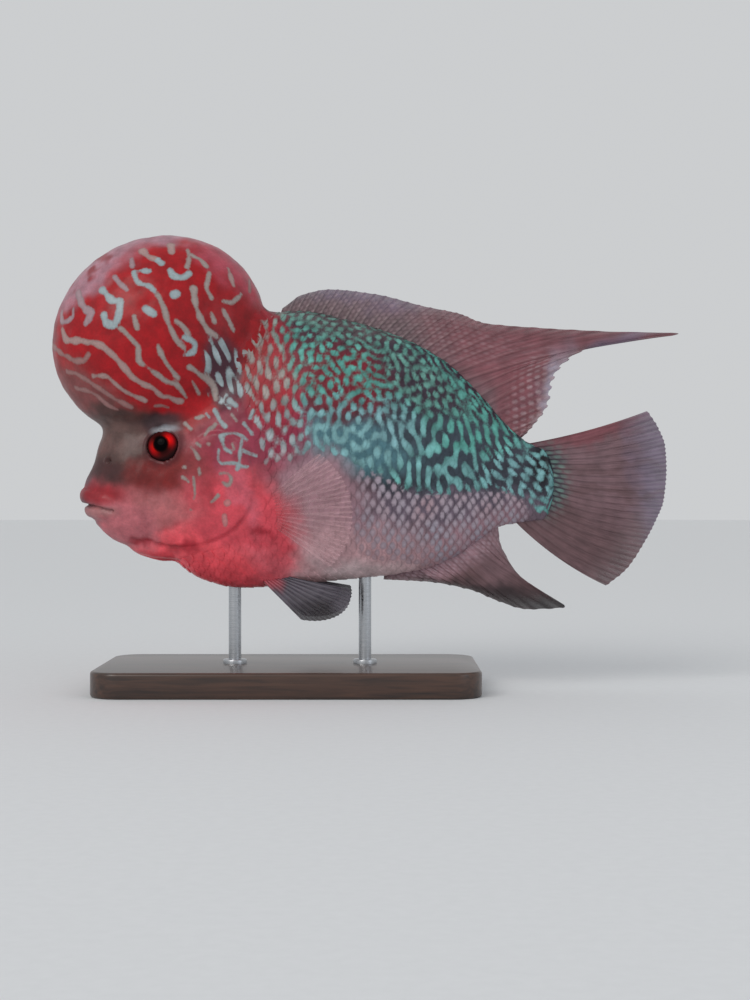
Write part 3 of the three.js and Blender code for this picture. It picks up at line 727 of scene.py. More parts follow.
@dataclass
class Chart:
    """The body behind the head unrolled, so that scales and marks keep their true size.

    A place is its x and the arc down from the back's middle line. The scales use a share of
    the way from the side line instead, 1 at the back's middle line and -1 at the belly's.
    """

    form: BodyForm
    start: float = -50.0
    end: float = 104.0
    turns: int = 361
    shares: int = 161
    longest: float = 150.0

    def __post_init__(self) -> None:
        """Samples the surface and measures its arcs."""
        self.stations = np.arange(self.start, self.end + 0.5)
        turn = np.linspace(0, np.pi, self.turns)
        rays = np.stack([np.zeros_like(turn), np.sin(turn), np.cos(turn)], -1)
        starts = np.zeros((len(self.stations), self.turns, 3))
        starts[..., 0] = self.stations[:, None]
        starts[..., 2] = self.form.middle(self.stations)[:, None]
        surface = self.form.cast(starts, np.broadcast_to(rays, starts.shape))
        steps = np.linalg.norm(np.diff(surface, axis=1), axis=2)
        self.arcs = np.concatenate([np.zeros((len(steps), 1)), np.cumsum(steps, 1)], 1)
        side_height = np.clip(self.form.widest(self.stations), 60, 120)
        self.table = np.zeros((len(self.stations), self.shares, 3))
        self.heights = np.zeros((len(self.stations), int(self.longest)))
        self.top = np.zeros(len(self.stations))
        self.bottom = np.zeros(len(self.stations))
        share = np.linspace(-1, 1, self.shares)
        for n, (arc, points) in enumerate(zip(self.arcs, surface)):
            side = arc[np.argmin(np.abs(points[:, 2] - side_height[n]))]
            self.top[n], self.bottom[n] = side, arc[-1] - side
            at = np.where(share > 0, side - share * side, side - share * (arc[-1] - side))
            for axis in range(3):
                self.table[n, :, axis] = np.interp(at, arc, points[:, axis])
            self.heights[n] = np.interp(np.arange(int(self.longest)), arc, points[:, 2])

    def arc(self, p: Array) -> Array:
        """Returns each point's arc down from the back's middle line."""
        turn = np.arctan2(np.abs(p[:, 1]), p[:, 2] - self.form.middle(p[:, 0]))
        return bilinear(self.arcs, p[:, 0] - self.start, turn / np.pi * (self.turns - 1))

    def reach(self, x: Array, above: Array) -> Array:
        """Returns the arc from the side line to the middle line, on the back or belly side."""
        return np.where(above, np.interp(x, self.stations, self.top),
                        np.interp(x, self.stations, self.bottom))

    def surface(self, x: Array, share: Array, side: float) -> Array:
        """Finds surface points; a share past 1 or -1 runs on over the middle line.

        Args:
            x: Places along the fish.
            share: Shares of the way to the middle lines.
            side: -1 for the left side and 1 for the right.

        Returns:
            The surface points.
        """
        folded = np.where(np.abs(share) > 1, np.sign(share) * 2 - share, share)
        flip = np.where(np.abs(share) > 1, -side, side)
        p = bilinear(self.table, x - self.start, (folded + 1) / 2 * (self.shares - 1))
        return p * np.stack([np.ones_like(flip), flip, np.ones_like(flip)], -1)


@dataclass
class ScaleRows:
    """Where the scales sit: slanting rows whose spacing narrows towards the tail."""

    chart: Chart
    row: float = 0.75  # a row's height as a share of the spacing

    def __post_init__(self) -> None:
        """Sets up the spacing of the scales along the fish, and their running count."""
        self.spacing = hermite([(-50, 4.1), (0, 4.2), (30, 4.0), (60, 3.7), (95, 3.1), (104, 3)])
        self.fine = np.linspace(self.chart.start, self.chart.end, 3000)
        steps = np.diff(self.fine) / self.spacing(self.fine[:-1])
        self.run = np.concatenate([[0], np.cumsum(steps)])

    def share(self, x: Array, row: Array) -> Array:
        """Returns the chart's share for a row at a place along the fish."""
        arc = row * self.row * self.spacing(x)
        return arc / self.chart.reach(x, arc > 0)

    def centres(self) -> tuple[Array, Array]:
        """Finds the scales of one side.

        Returns:
            Each scale's x, and the number of its row up from the side line.
        """
        column, number = np.meshgrid(np.arange(int(self.run[-1] * 2)), np.arange(-40, 41))
        kept = (column + number) % 2 == 0
        x = np.interp(column[kept] / 2, self.run, self.fine)
        rows = number[kept].astype(float)
        share = self.share(x, rows)
        middle = self.chart.surface(x, share, 1.0)
        kept = (np.abs(share) < 0.985) & (x - gill_edge(middle[:, 2]) > 0.5) & (x < 102.5)
        return x[kept], rows[kept]

    def pearl_depth(self, p: Array) -> Array:
        """Works out how deep points lie in the upright oval pearl of their scale.

        Args:
            p: Places in millimetres.

        Returns:
            A depth for each, negative outside the pearl.
        """
        spacing = self.spacing(p[:, 0])
        run = np.interp(p[:, 0] - 0.12 * spacing, self.fine, self.run)
        side = np.interp(p[:, 0], self.chart.stations, self.chart.top)
        row = (side - self.chart.arc(p)) / (self.row * spacing)
        near = np.full(len(p), 9.0)
        for step in (-1, 0, 1):
            for rise in (-1, 0, 1):
                column, number = np.rint(2 * run) + step, np.rint(row) + rise
                stray = 0.11 * np.sin(column * 5.1 + number * 3.7)
                wide = 0.29 + 0.05 * np.sin(column * 2.3 + number * 7.9)
                gap = np.hypot((run - column / 2 - stray) / wide,
                               (row - number - stray) * self.row / 0.45)
                near = np.where((column + number) % 2 == 0, np.minimum(near, gap), near)
        return (1 - near) * 0.3 * spacing


@dataclass(frozen=True)
class Weave:
    """How the grown marks of one region run."""

    region: Wash
    pitch: float  # mm from one mark to the next
    fill: float  # above 0 the marks are wider than the gaps
    dots: float  # 0 grows long worms, and 1 grows dots and short dashes
    stretch: float = 1.0  # how much longer than wide the dots are
    lie: float = 90.0  # degrees up from the fish's length in which they are longer


# Later regions lie over earlier ones.
WEAVES: tuple[Weave, ...] = (
    Weave(Wash(Tone.TEAL, (0, 100), (400, 400)), 3.5, 0.05, 0.9),
    Weave(Wash(Tone.TEAL, (18, 99), (36, 13), -8, 0.6), 3.5, 0.15, 0.7, 1.5),
    Weave(Wash(Tone.TEAL, (60, 90), (24, 15), -10, 0.6), 3.8, 0.1, 0.45, 2.0),
    Weave(Wash(Tone.TEAL, (90, 90), (16, 17), 0, 0.6), 3.5, 0.0, 0.9, 1.4, 10),
    Weave(Wash(Tone.CREAM, (-12, 118), (15, 42), 8, 0.6), 3.3, -0.1, 1.0, 2.1),
    Weave(Wash(Tone.ICE, (-25, 124), (9, 19), 8, 0.5), 4.6, 0.1, 1.0, 1.5),
)


@dataclass
class GrownMarks:
    """Worm marks and dots grown over the unrolled body, as pigment cells sort themselves.

    Noise is sharpened round after round, and only waves of the right length survive.
    """

    chart: Chart
    columns: int = 480
    rows: int = 840
    rounds: int = 3
    half: float = 135.0
    band: float = 0.4
    gain: float = 1.3
    uneven: float = 0.5  # how much the marks differ in width

    def __post_init__(self) -> None:
        """Grows the marks."""
        long = self.chart.end - self.chart.start
        self.step = (long / self.columns, 2 * self.half / self.rows)
        x = self.chart.start + (np.arange(self.columns) + 0.5) * self.step[0]
        arc = np.abs((np.arange(self.rows) + 0.5) * self.step[1] - self.half)
        x, arc = np.meshgrid(x, arc, indexing="ij")
        z = bilinear(self.chart.heights, x - self.chart.start, arc)
        filters = [self.sieve(weave) for weave in WEAVES]
        shares = np.zeros((len(WEAVES), self.columns, self.rows))
        for n, weave in enumerate(WEAVES):
            share = weave.region.share(x, z)
            shares[:n] *= 1 - share
            shares[n] = share
        fill, dots, pitch = (sum(s * getattr(w, name) for s, w in zip(shares, WEAVES))
                             for name in ("fill", "dots", "pitch"))
        grown = np.random.default_rng(SEED).normal(size=x.shape)
        for _ in range(self.rounds):
            waves = np.fft.fft2(grown)
            pushed = np.zeros_like(grown)
            for share, kept in zip(shares, filters):
                passed = np.fft.ifft2(waves * kept).real
                pushed += share * passed / (passed.std() + 1e-9)
            grown = np.tanh(self.gain * pushed - dots)
        steep = 2 * np.pi * math.sqrt(2) / pitch
        fill = fill + self.uneven * waver(np.stack([x, 0 * x, z], -1), 8, 64)
        shown = smoothstep(0, 2.5, x - gill_edge(z)) * smoothstep(-2.5, 1.5, z - teal_floor(x))
        shown = np.maximum(shown, smoothstep(0.5, 0.9, WEAVES[-1].region.share(x, z)))
        self.depth = (pushed + fill) / steep - CLEARED * (1 - shown)

    def sieve(self, weave: Weave) -> Array:
        """Works out how much of each wave one weave lets through.

        Args:
            weave: The weave.

        Returns:
            A share for each wave.
        """
        fx = np.fft.fftfreq(self.columns, self.step[0])[:, None]
        fv = np.fft.fftfreq(self.rows, self.step[1])[None]
        along, across = turned(fx, fv, weave.lie)
        return ridge(np.hypot(along * weave.stretch, across) * weave.pitch - 1, self.band)

    def read(self, p: Array) -> Array:
        """Works out how deep points lie inside a grown mark.

        Args:
            p: Places in millimetres.

        Returns:
            A depth for each in millimetres, negative outside a mark.
        """
        arc = self.chart.arc(p) * np.where(p[:, 1] < 0, -1, 1)
        i = (p[:, 0] - self.chart.start) / self.step[0] - 0.5
        j = (arc + self.half) / self.step[1] - 0.5
        ahead = smoothstep(0, 4, self.chart.start + 6 - p[:, 0])
        return bilinear(self.depth, i, j) - CLEARED * ahead


@dataclass
class Markings:
    """All pale marks of the body, read alike for the skin and its scales."""

    form: BodyForm
    rows: ScaleRows
    step: float = 0.35
    clear_of_strokes: float = 0.8

    def __post_init__(self) -> None:
        """Grows the marks of the flank and lays the strokes on both sides."""
        self.grown = GrownMarks(self.rows.chart)
        places, radii, tones = [], [], []
        for stroke in STROKES:
            path = np.array(stroke.path)
            reach = np.r_[0, np.cumsum(np.linalg.norm(np.diff(path, axis=0), axis=1))]
            at = np.linspace(0, reach[-1], max(2, int(reach[-1] / self.step)))
            x, z = (hermite(list(zip(reach, path[:, i])))(at) for i in (0, 1))
            for side in (-1.0, 1.0):
                surface = self.form.side(x, z, side)
                surface[:, 2] += 0.45 * waver(surface, 5, 12)
                places.append(surface)
                radii.append(stroke.radius * (1 + 0.38 * waver(surface, 5, 11)))
                tones.append(np.tile(stroke.tone.rgb, (len(at), 1)))
        self.places, self.radii = np.concatenate(places), np.concatenate(radii)
        self.tones = np.concatenate(tones)
        self.tree = nearest_tree(self.places)

    def read_strokes(self, p: Array) -> tuple[Array, Array]:
        """Finds the nearest stroke of each point.

        Args:
            p: Places in millimetres.

        Returns:
            Each point's depth inside a stroke, and that stroke's colour.
        """
        depth = np.full(len(p), -3.0)
        tone = np.tile(Tone.CREAM.rgb, (len(p), 1))
        near = np.flatnonzero(p[:, 0] < -6)
        found = [self.tree.find(q)[1:] for q in p[near]]
        index = np.array([f[0] for f in found], int)
        depth[near] = self.radii[index] - np.array([f[1] for f in found])
        tone[near] = self.tones[index]
        return np.clip(depth, -3, 2), tone

    def read_pearls(self, p: Array, ground: Array) -> tuple[Array, Array]:
        """Reads the pearls, which are faint near the belly.

        Args:
            p: Places in millimetres.
            ground: The colour under the marks at each place.

        Returns:
            Each point's depth inside a pearl, and the pearl's colour.
        """
        x, z = p[:, 0], p[:, 2]
        strength = smoothstep(20, 38, x) * smoothstep(47, 58, z + 0.12 * (x - 40))
        strength = strength * smoothstep(0.5, -1.5, z - teal_floor(x)) * smoothstep(98, 90, x)
        pink = (0.5 + 0.5 * waver(p, 11, 61))[:, None]
        tone = Tone.PEARL.rgb * (1 - pink) + Tone.PEARL_PINK.rgb * pink
        faint = (0.25 + 0.75 * strength)[:, None]
        depth = self.rows.pearl_depth(p) - CLEARED * (1 - smoothstep(0, 0.35, strength))
        return depth, tone * faint + ground * (1 - faint)

    def read(self, p: Array, ground: Array) -> tuple[Array, Array]:
        """Reads the marks at points of a mesh.

        Args:
            p: Places in millimetres.
            ground: The colour under the marks at each place.

        Returns:
            How deep each point lies inside a mark, in millimetres, and that mark's colour.
        """
        stroke, stroke_tone = self.read_strokes(p)
        grown = np.minimum(self.grown.read(p), -stroke - self.clear_of_strokes)
        tone = lay_washes(p, Tone.TEAL, MARK_TONES) * (1 + 0.3 * waver(p, 7, 63))[:, None]
        pearl, pearl_tone = self.read_pearls(p, ground)
        tone = np.where((pearl > grown)[:, None], pearl_tone, tone)
        depth = np.maximum(grown, pearl)
        tone = np.where((stroke > depth)[:, None], stroke_tone, tone)
        return np.clip(np.maximum(depth, stroke), -2, 2), tone


def paint(mesh: bpy.types.Mesh, points: Array, marks: Markings) -> None:
    """Stores the ground colour and the markings on a mesh of the body.

    Args:
        mesh: The mesh.
        points: Where each vertex reads its colours, in millimetres.
        marks: The body's markings.
    """
    ground = lay_washes(points, Tone.FLANK, GROUND)
    depth, tone = marks.read(points, ground)
    write_colour(mesh, "ground", ground)
    write_colour(mesh, "mark", tone)
    write_number(mesh, "depth", depth)


# Finishes


def add_node(
    tree: bpy.types.NodeTree, kind: str, inputs: dict | None = None, **settings: object
) -> bpy.types.Node:
    """Adds a node with its settings and links.

    Args:
        tree: The node tree.
        kind: The node's type name after "ShaderNode".
        inputs: For each input by name or number, its value or the socket that feeds it.
        **settings: The node's own properties.

    Returns:
        The new node.
    """
    node = tree.nodes.new(f"ShaderNode{kind}")
    for name, value in settings.items():
        setattr(node, name, value)
    for name, value in (inputs or {}).items():
        if isinstance(value, bpy.types.NodeSocket):
            tree.links.new(value, node.inputs[name])
        else:
            node.inputs[name].default_value = value
    return node


@dataclass(frozen=True)
class Finish:
    """What every finish shares: a name, a Principled surface and its constant values."""

    name: str
    roughness: float = 0.5
    ior: float = 1.4
    metallic: float = 0.0
    coat: float = 0.0
    coat_roughness: float = 0.1
    subsurface: float = 0.0

    def start(self) -> tuple[bpy.types.Material, bpy.types.NodeTree, bpy.types.Node]:
        """Makes the material with its shader and output.

        Returns:
            The material, its node tree and its Principled node.
        """
        material = bpy.data.materials.new(self.name)
        material.use_nodes = True
        tree = material.node_tree
        tree.nodes.clear()
        shader = add_node(tree, "BsdfPrincipled", {
            "Roughness": self.roughness, "IOR": self.ior, "Metallic": self.metallic,
            "Coat Weight": self.coat, "Coat Roughness": self.coat_roughness,
            "Subsurface Weight": self.subsurface, "Subsurface Scale": 0.0012,
            "Subsurface Radius": (1.0, 0.35, 0.25),
        })
        add_node(tree, "OutputMaterial", {"Surface": shader.outputs[0]})
        return material, tree, shader


@dataclass(frozen=True)
class LivingSkin(Finish):
    """Wet fish skin: pigment under a clear slime coat, which gives a soft gloss.

    The colour under the marks, the marks' depth and their colour are stored on the mesh.
    """

    grain: float = 0.9  # mm between pigment grains, coarser than in life so that they show
    mottle: float = 5.0  # mm between lighter and darker places
    edge: float = 0.3  # mm of soft edge on a mark
    bump: float = 0.2

    def build(self) -> bpy.types.Material:
        """Builds the material.

        Returns:
            The finished material.
        """
        material, tree, shader = self.start()
        place = add_node(tree, "TexCoord").outputs["Object"]
        ground, mark, depth, rim = (add_node(tree, "Attribute", attribute_name=name)
                                    for name in ("ground", "mark", "depth", "rim"))
        mottle = add_node(tree, "TexNoise", {
            "Vector": place, "Scale": 1 / (self.mottle * MM), "Detail": 4.0})
        grain = add_node(tree, "TexNoise", {
            "Vector": place, "Scale": 1 / (self.grain * MM), "Detail": 2.0})
        ragged = add_node(tree, "Math", {
            0: grain.outputs[0], 1: 0.6, 2: depth.outputs["Fac"]}, operation="MULTIPLY_ADD")
        inside = add_node(tree, "MapRange", {
            "Value": ragged.outputs[0], "From Min": 0.3 - self.edge, "From Max": 0.3 + self.edge})
        cloudy = add_node(tree, "MapRange", {
            "Value": mottle.outputs[0], "From Min": 0.3, "From Max": 0.7,
            "To Min": 0.78, "To Max": 1.2})
        ground_mottled = add_node(tree, "Mix", {
            0: 1.0, 6: ground.outputs["Color"], 7: cloudy.outputs[0]},
            data_type="RGBA", blend_type="MULTIPLY")
        # a mark is paler along its middle
        middle = add_node(tree, "MapRange", {
            "Value": depth.outputs["Fac"], "From Min": 0.1, "From Max": 0.9,
            "To Min": 0.8, "To Max": 1.08})
        mark_shaded = add_node(tree, "Mix", {
            0: 1.0, 6: mark.outputs["Color"], 7: middle.outputs[0]},
            data_type="RGBA", blend_type="MULTIPLY")
        marked = add_node(tree, "Mix", {
            0: inside.outputs[0], 6: ground_mottled.outputs[2], 7: mark_shaded.outputs[2]},
            data_type="RGBA")
        grainy = add_node(tree, "MapRange", {
            "Value": grain.outputs[0], "From Min": 0.3, "From Max": 0.7,
            "To Min": 0.92, "To Max": 1.08})
        colour = add_node(tree, "Mix", {
            0: 1.0, 6: marked.outputs[2], 7: grainy.outputs[0]},
            data_type="RGBA", blend_type="MULTIPLY")
        edge = add_node(tree, "MapRange", {
            "Value": rim.outputs["Fac"], "To Min": 1.0, "To Max": 0.62})
        shaded = add_node(tree, "Mix", {
            0: 1.0, 6: colour.outputs[2], 7: edge.outputs[0]},
            data_type="RGBA", blend_type="MULTIPLY")
        tree.links.new(shaded.outputs[2], shader.inputs["Base Color"])
        bump = add_node(tree, "Bump", {
            "Height": grain.outputs[0], "Strength": self.bump, "Distance": 0.0002})
        tree.links.new(bump.outputs[0], shader.inputs["Normal"])
        return material


@dataclass(frozen=True)
class FinMembrane(Finish):
    """Fin membrane: thin clear skin with pigment, over stiff rays that show as fine streaks."""

    sheer: float = 0.3  # how much of the membrane is clear where it is thinnest
    streaks: float = 190.0  # streaks over the fin's width

    def build(self) -> bpy.types.Material:
        """Builds the material.

        Returns:
            The finished material.
        """
        material, tree, shader = self.start()
        place = add_node(tree, "TexCoord").outputs["Object"]
        ground, ray, clear = (add_node(tree, "Attribute", attribute_name=name)
                              for name in ("ground", "ray", "clear"))
        along = add_node(tree, "UVMap", uv_map="Rays")
        stretched = add_node(tree, "Mapping", {
            "Vector": along.outputs[0], "Scale": (self.streaks, 8, 1)})
        streak = add_node(tree, "TexNoise", {
            "Vector": stretched.outputs[0], "Scale": 1.0, "Detail": 2.0})
        mottle = add_node(tree, "TexNoise", {
            "Vector": place, "Scale": 1 / (6 * MM), "Detail": 3.0})
        colour = ground.outputs["Color"]
        for value, low, high, dark, light in (
            (streak.outputs[0], 0.3, 0.7, 0.8, 1.16),
            (mottle.outputs[0], 0.3, 0.7, 0.82, 1.16),
            (ray.outputs["Fac"], 0.0, 1.0, 1.03, 0.86),
        ):
            factor = add_node(tree, "MapRange", {
                "Value": value, "From Min": low, "From Max": high, "To Min": dark,
                "To Max": light})
            colour = add_node(tree, "Mix", {0: 1.0, 6: colour, 7: factor.outputs[0]},
                              data_type="RGBA", blend_type="MULTIPLY").outputs[2]
        tree.links.new(colour, shader.inputs["Base Color"])
        alpha = add_node(tree, "MapRange", {
            "Value": clear.outputs["Fac"], "To Min": 1.0, "To Max": 1 - self.sheer})
        tree.links.new(alpha.outputs[0], shader.inputs["Alpha"])
        bump = add_node(tree, "Bump", {
            "Height": streak.outputs[0], "Strength": 0.3, "Distance": 0.0003})
        tree.links.new(bump.outputs[0], shader.inputs["Normal"])
        return material


@dataclass(frozen=True)
class EyeGlass(Finish):
    """A living eye: a red iris and a black pupil under a wet, clear cornea."""

    pupil: float = 2.7  # mm
    iris: float = 5.6  # mm
    reach: float = 8.0  # mm from the middle to the end of the rings
    stray: float = 0.5  # mm by which the iris's fibres move the rings

    def build(self) -> bpy.types.Material:
        """Builds the material.

        Returns:
            The finished material.
        """
        material, tree, shader = self.start()
        place = add_node(tree, "TexCoord").outputs["Object"]
        radial, glow = (add_node(tree, "Attribute", attribute_name=name)
                        for name in ("radial", "glow"))
        fibre = add_node(tree, "TexNoise", {
            "Vector": place, "Scale": 1 / (0.8 * MM), "Detail": 3.0})
        wobble = add_node(tree, "Math", {
            0: fibre.outputs[0], 1: self.stray, 2: radial.outputs["Fac"]},
            operation="MULTIPLY_ADD")
        share = add_node(tree, "MapRange", {
            "Value": wobble.outputs[0], "From Min": self.stray / 2,
            "From Max": self.reach + self.stray / 2})
        bright = ((self.pupil - 0.1, "#020102"), (self.pupil + 0.3, "#6a0807"),
                  (self.pupil + 0.8, "#f01812"), (self.iris - 0.9, "#cc0e18"),
                  (self.iris - 0.1, "#7a1014"), (self.iris + 0.5, "#2a1214"))
        dark = ((self.pupil - 0.1, "#020102"), (self.pupil + 0.3, "#0e0404"),
                (self.pupil + 1.0, "#2e0c0c"), (self.iris - 0.9, "#3c1213"),
                (self.iris - 0.1, "#2a1212"), (self.iris + 0.5, "#1e0f11"))
        rings = []
        for stops in (dark, bright):
            ramp = add_node(tree, "ValToRGB", {"Fac": share.outputs[0]})
            steps = ramp.color_ramp.elements
            while len(steps) < len(stops):
                steps.new(0.5)
            for number, (where, tone) in enumerate(stops):
                steps[number].position = where / self.reach
                steps[number].color = linear(tone)
            rings.append(ramp.outputs[0])
        colour = add_node(tree, "Mix", {0: glow.outputs["Fac"], 6: rings[0], 7: rings[1]},
                          data_type="RGBA")
        tree.links.new(colour.outputs[2], shader.inputs["Base Color"])
        return material


@dataclass(frozen=True)
class SatinWalnut(Finish):
    """Dark walnut under satin lacquer: long fine grain along the base, with a soft gloss."""

    grain: float = 1.6  # mm across a grain line

    def build(self) -> bpy.types.Material:
        """Builds the material.

        Returns:
            The finished material.
        """
        material, tree, shader = self.start()
        place = add_node(tree, "TexCoord").outputs["Object"]
        stretched = add_node(tree, "Mapping", {"Vector": place, "Scale": (0.06, 1.0, 1.0)})
        line = add_node(tree, "TexNoise", {
            "Vector": stretched.outputs[0], "Scale": 1 / (self.grain * MM),
            "Detail": 4.0, "Distortion": 0.6})
        cloud = add_node(tree, "TexNoise", {
            "Vector": stretched.outputs[0], "Scale": 1 / (14 * MM), "Detail": 2.0})
        share = add_node(tree, "Math", {
            0: cloud.outputs[0], 1: 0.6, 2: line.outputs[0]}, operation="MULTIPLY_ADD")
        ramp = add_node(tree, "ValToRGB", {"Fac": share.outputs[0]})
        low, high = ramp.color_ramp.elements
        low.position, low.color = 0.55, linear("#1c1310")
        high.position, high.color = 1.0, linear("#4a3125")
        tree.links.new(ramp.outputs[0], shader.inputs["Base Color"])
        bump = add_node(tree, "Bump", {
            "Height": line.outputs[0], "Strength": 0.15, "Distance": 0.0002})
        tree.links.new(bump.outputs[0], shader.inputs["Normal"])
        return material


@dataclass(frozen=True)
class BrushedSteel(Finish):
    """Stainless rod, brushed round its length: grey metal with fine rings of gloss.

    The rings are 0.2 mm wide, coarser than real brushing so that they show.
    """

    def build(self) -> bpy.types.Material:
        """Builds the material.

        Returns:
            The finished material.
        """
        material, tree, shader = self.start()
        place = add_node(tree, "TexCoord").outputs["Object"]
        rings = add_node(tree, "Mapping", {"Vector": place, "Scale": (0.2, 0.2, 6)})
        brushed = add_node(tree, "TexNoise", {
            "Vector": rings.outputs[0], "Scale": 1 / (1.2 * MM), "Detail": 2.0})
        rough = add_node(tree, "MapRange", {
            "Value": brushed.outputs[0], "From Min": 0.3, "From Max": 0.7,
            "To Min": 0.22, "To Max": 0.4})
        tree.links.new(rough.outputs[0], shader.inputs["Roughness"])
        tone = add_node(tree, "Mix", {
            0: brushed.outputs[0], 6: linear("#a3a6aa"), 7: linear("#c9ccd0")},
            data_type="RGBA")
        tree.links.new(tone.outputs[2], shader.inputs["Base Color"])
        return material


@dataclass(frozen=True)
class PaperFloor(Finish):
    """Studio paper: matte and almost even.

    Its fibre is about 3 mm wide, coarser than real so that it shows.
    """

    def build(self) -> bpy.types.Material:
        """Builds the material.

        Returns:
            The finished material.
        """
        material, tree, shader = self.start()
        place = add_node(tree, "TexCoord").outputs["Object"]
        fibre = add_node(tree, "TexNoise", {"Vector": place, "Scale": 300.0})
        tone = add_node(tree, "Mix", {
            0: fibre.outputs[0], 6: linear("#d9dbdd"), 7: linear("#dfe1e3")}, data_type="RGBA")
        tree.links.new(tone.outputs[2], shader.inputs["Base Color"])
        return material


# The skin


# The CAD nodes that the skin stands for
FLESH = ("nuchal_hump", "head", "lower_jaw", "gill_cover_left", "gill_cover_right",
         "torso", "tail_stalk")


def path_distance(p: Array, path: Array) -> Array:
    """Works out the distance of points to a line.

    Args:
        p: The points.
        path: The line's own points, in order.

    Returns:
        A distance for each.
    """
    best = np.full(len(p), 1e9)
    for a, b in zip(path[:-1], path[1:]):
        way = b - a
        t = np.clip(((p - a) @ way) / (way @ way + 1e-12), 0, 1)
        best = np.minimum(best, np.linalg.norm(p - a - t[:, None] * way, axis=1))
    return best


def outline_depth(x: Array, z: Array, outline: Array) -> Array:
    """Works out how deep places in the side view lie inside a closed outline.

    Args:
        x: Places along the fish.
        z: Their heights.
        outline: The outline's own places, in order.

    Returns:
        A depth for each, negative outside.
    """
    closed = np.vstack([outline, outline[:1]])
    inside = np.zeros(len(x), bool)
    for a, b in zip(closed[:-1], closed[1:]):
        crosses = (a[1] > z) != (b[1] > z)
        at = a[0] + (z - a[1]) * (b[0] - a[0]) / (b[1] - a[1] + 1e-12)
        inside ^= crosses & (x < at)
    gap = path_distance(np.stack([x, z], -1), closed)
    return np.where(inside, gap, -gap)


def smooth_closed(points: Sequence[tuple[float, float]], count: int = 72) -> Array:
    """Draws a smooth closed line through a few points.

    Args:
        points: The points, in order.
        count: How many places are wanted.

    Returns:
        Places along the line.
    """
    p = np.array(points, float)
    t = np.linspace(0, len(p), count, endpoint=False)
    i = t.astype(int)
    f = (t - i)[:, None]
    a, b, c, d = (p[(i + k) % len(p)] for k in (-1, 0, 1, 2))
    return 0.5 * (2 * b + (c - a) * f + (2 * a - 5 * b + 4 * c - d) * f**2
                  + (3 * b - 3 * c + d - a) * f**3)


def coat_share(p: Array) -> Array:
    """Returns how much of the coat's depth lies over each point."""
    x, z = p[..., 0], p[..., 2]
    return smoothstep(-1.0, 5.0, x - gill_edge(z)) * smoothstep(104, 99, x)


@dataclass(frozen=True)
class EyeSeat:
    """Where an eye sits in the head, and how much of it shows."""

    x: float = -49.0
    z: float = 96.8
    seen: float = 6.0
    radius: float = 7.5
    depth: float = 5.0

    @property
    def sunk(self) -> float:
        """How far the eye's centre lies under the skin."""
        return self.depth * math.sqrt(1 - (self.seen / self.radius) ** 2)

    def frame(self, form: BodyForm, side: float) -> tuple[Array, Array, Array, Array]:
        """Finds the eye's place.

        Args:
            form: The body's form.
            side: -1 for the left eye and 1 for the right.

        Returns:
            The skin point at its middle, and its directions out, forwards and up.
        """
        skin = form.side(self.x, self.z, side)[0]
        out = form.normal(skin[None])[0]
        ahead = unit(np.array([-1.0, 0, 0]) + out * out[0])
        up = unit(np.cross(out, ahead))
        return skin, out, ahead, up * np.sign(up[2])


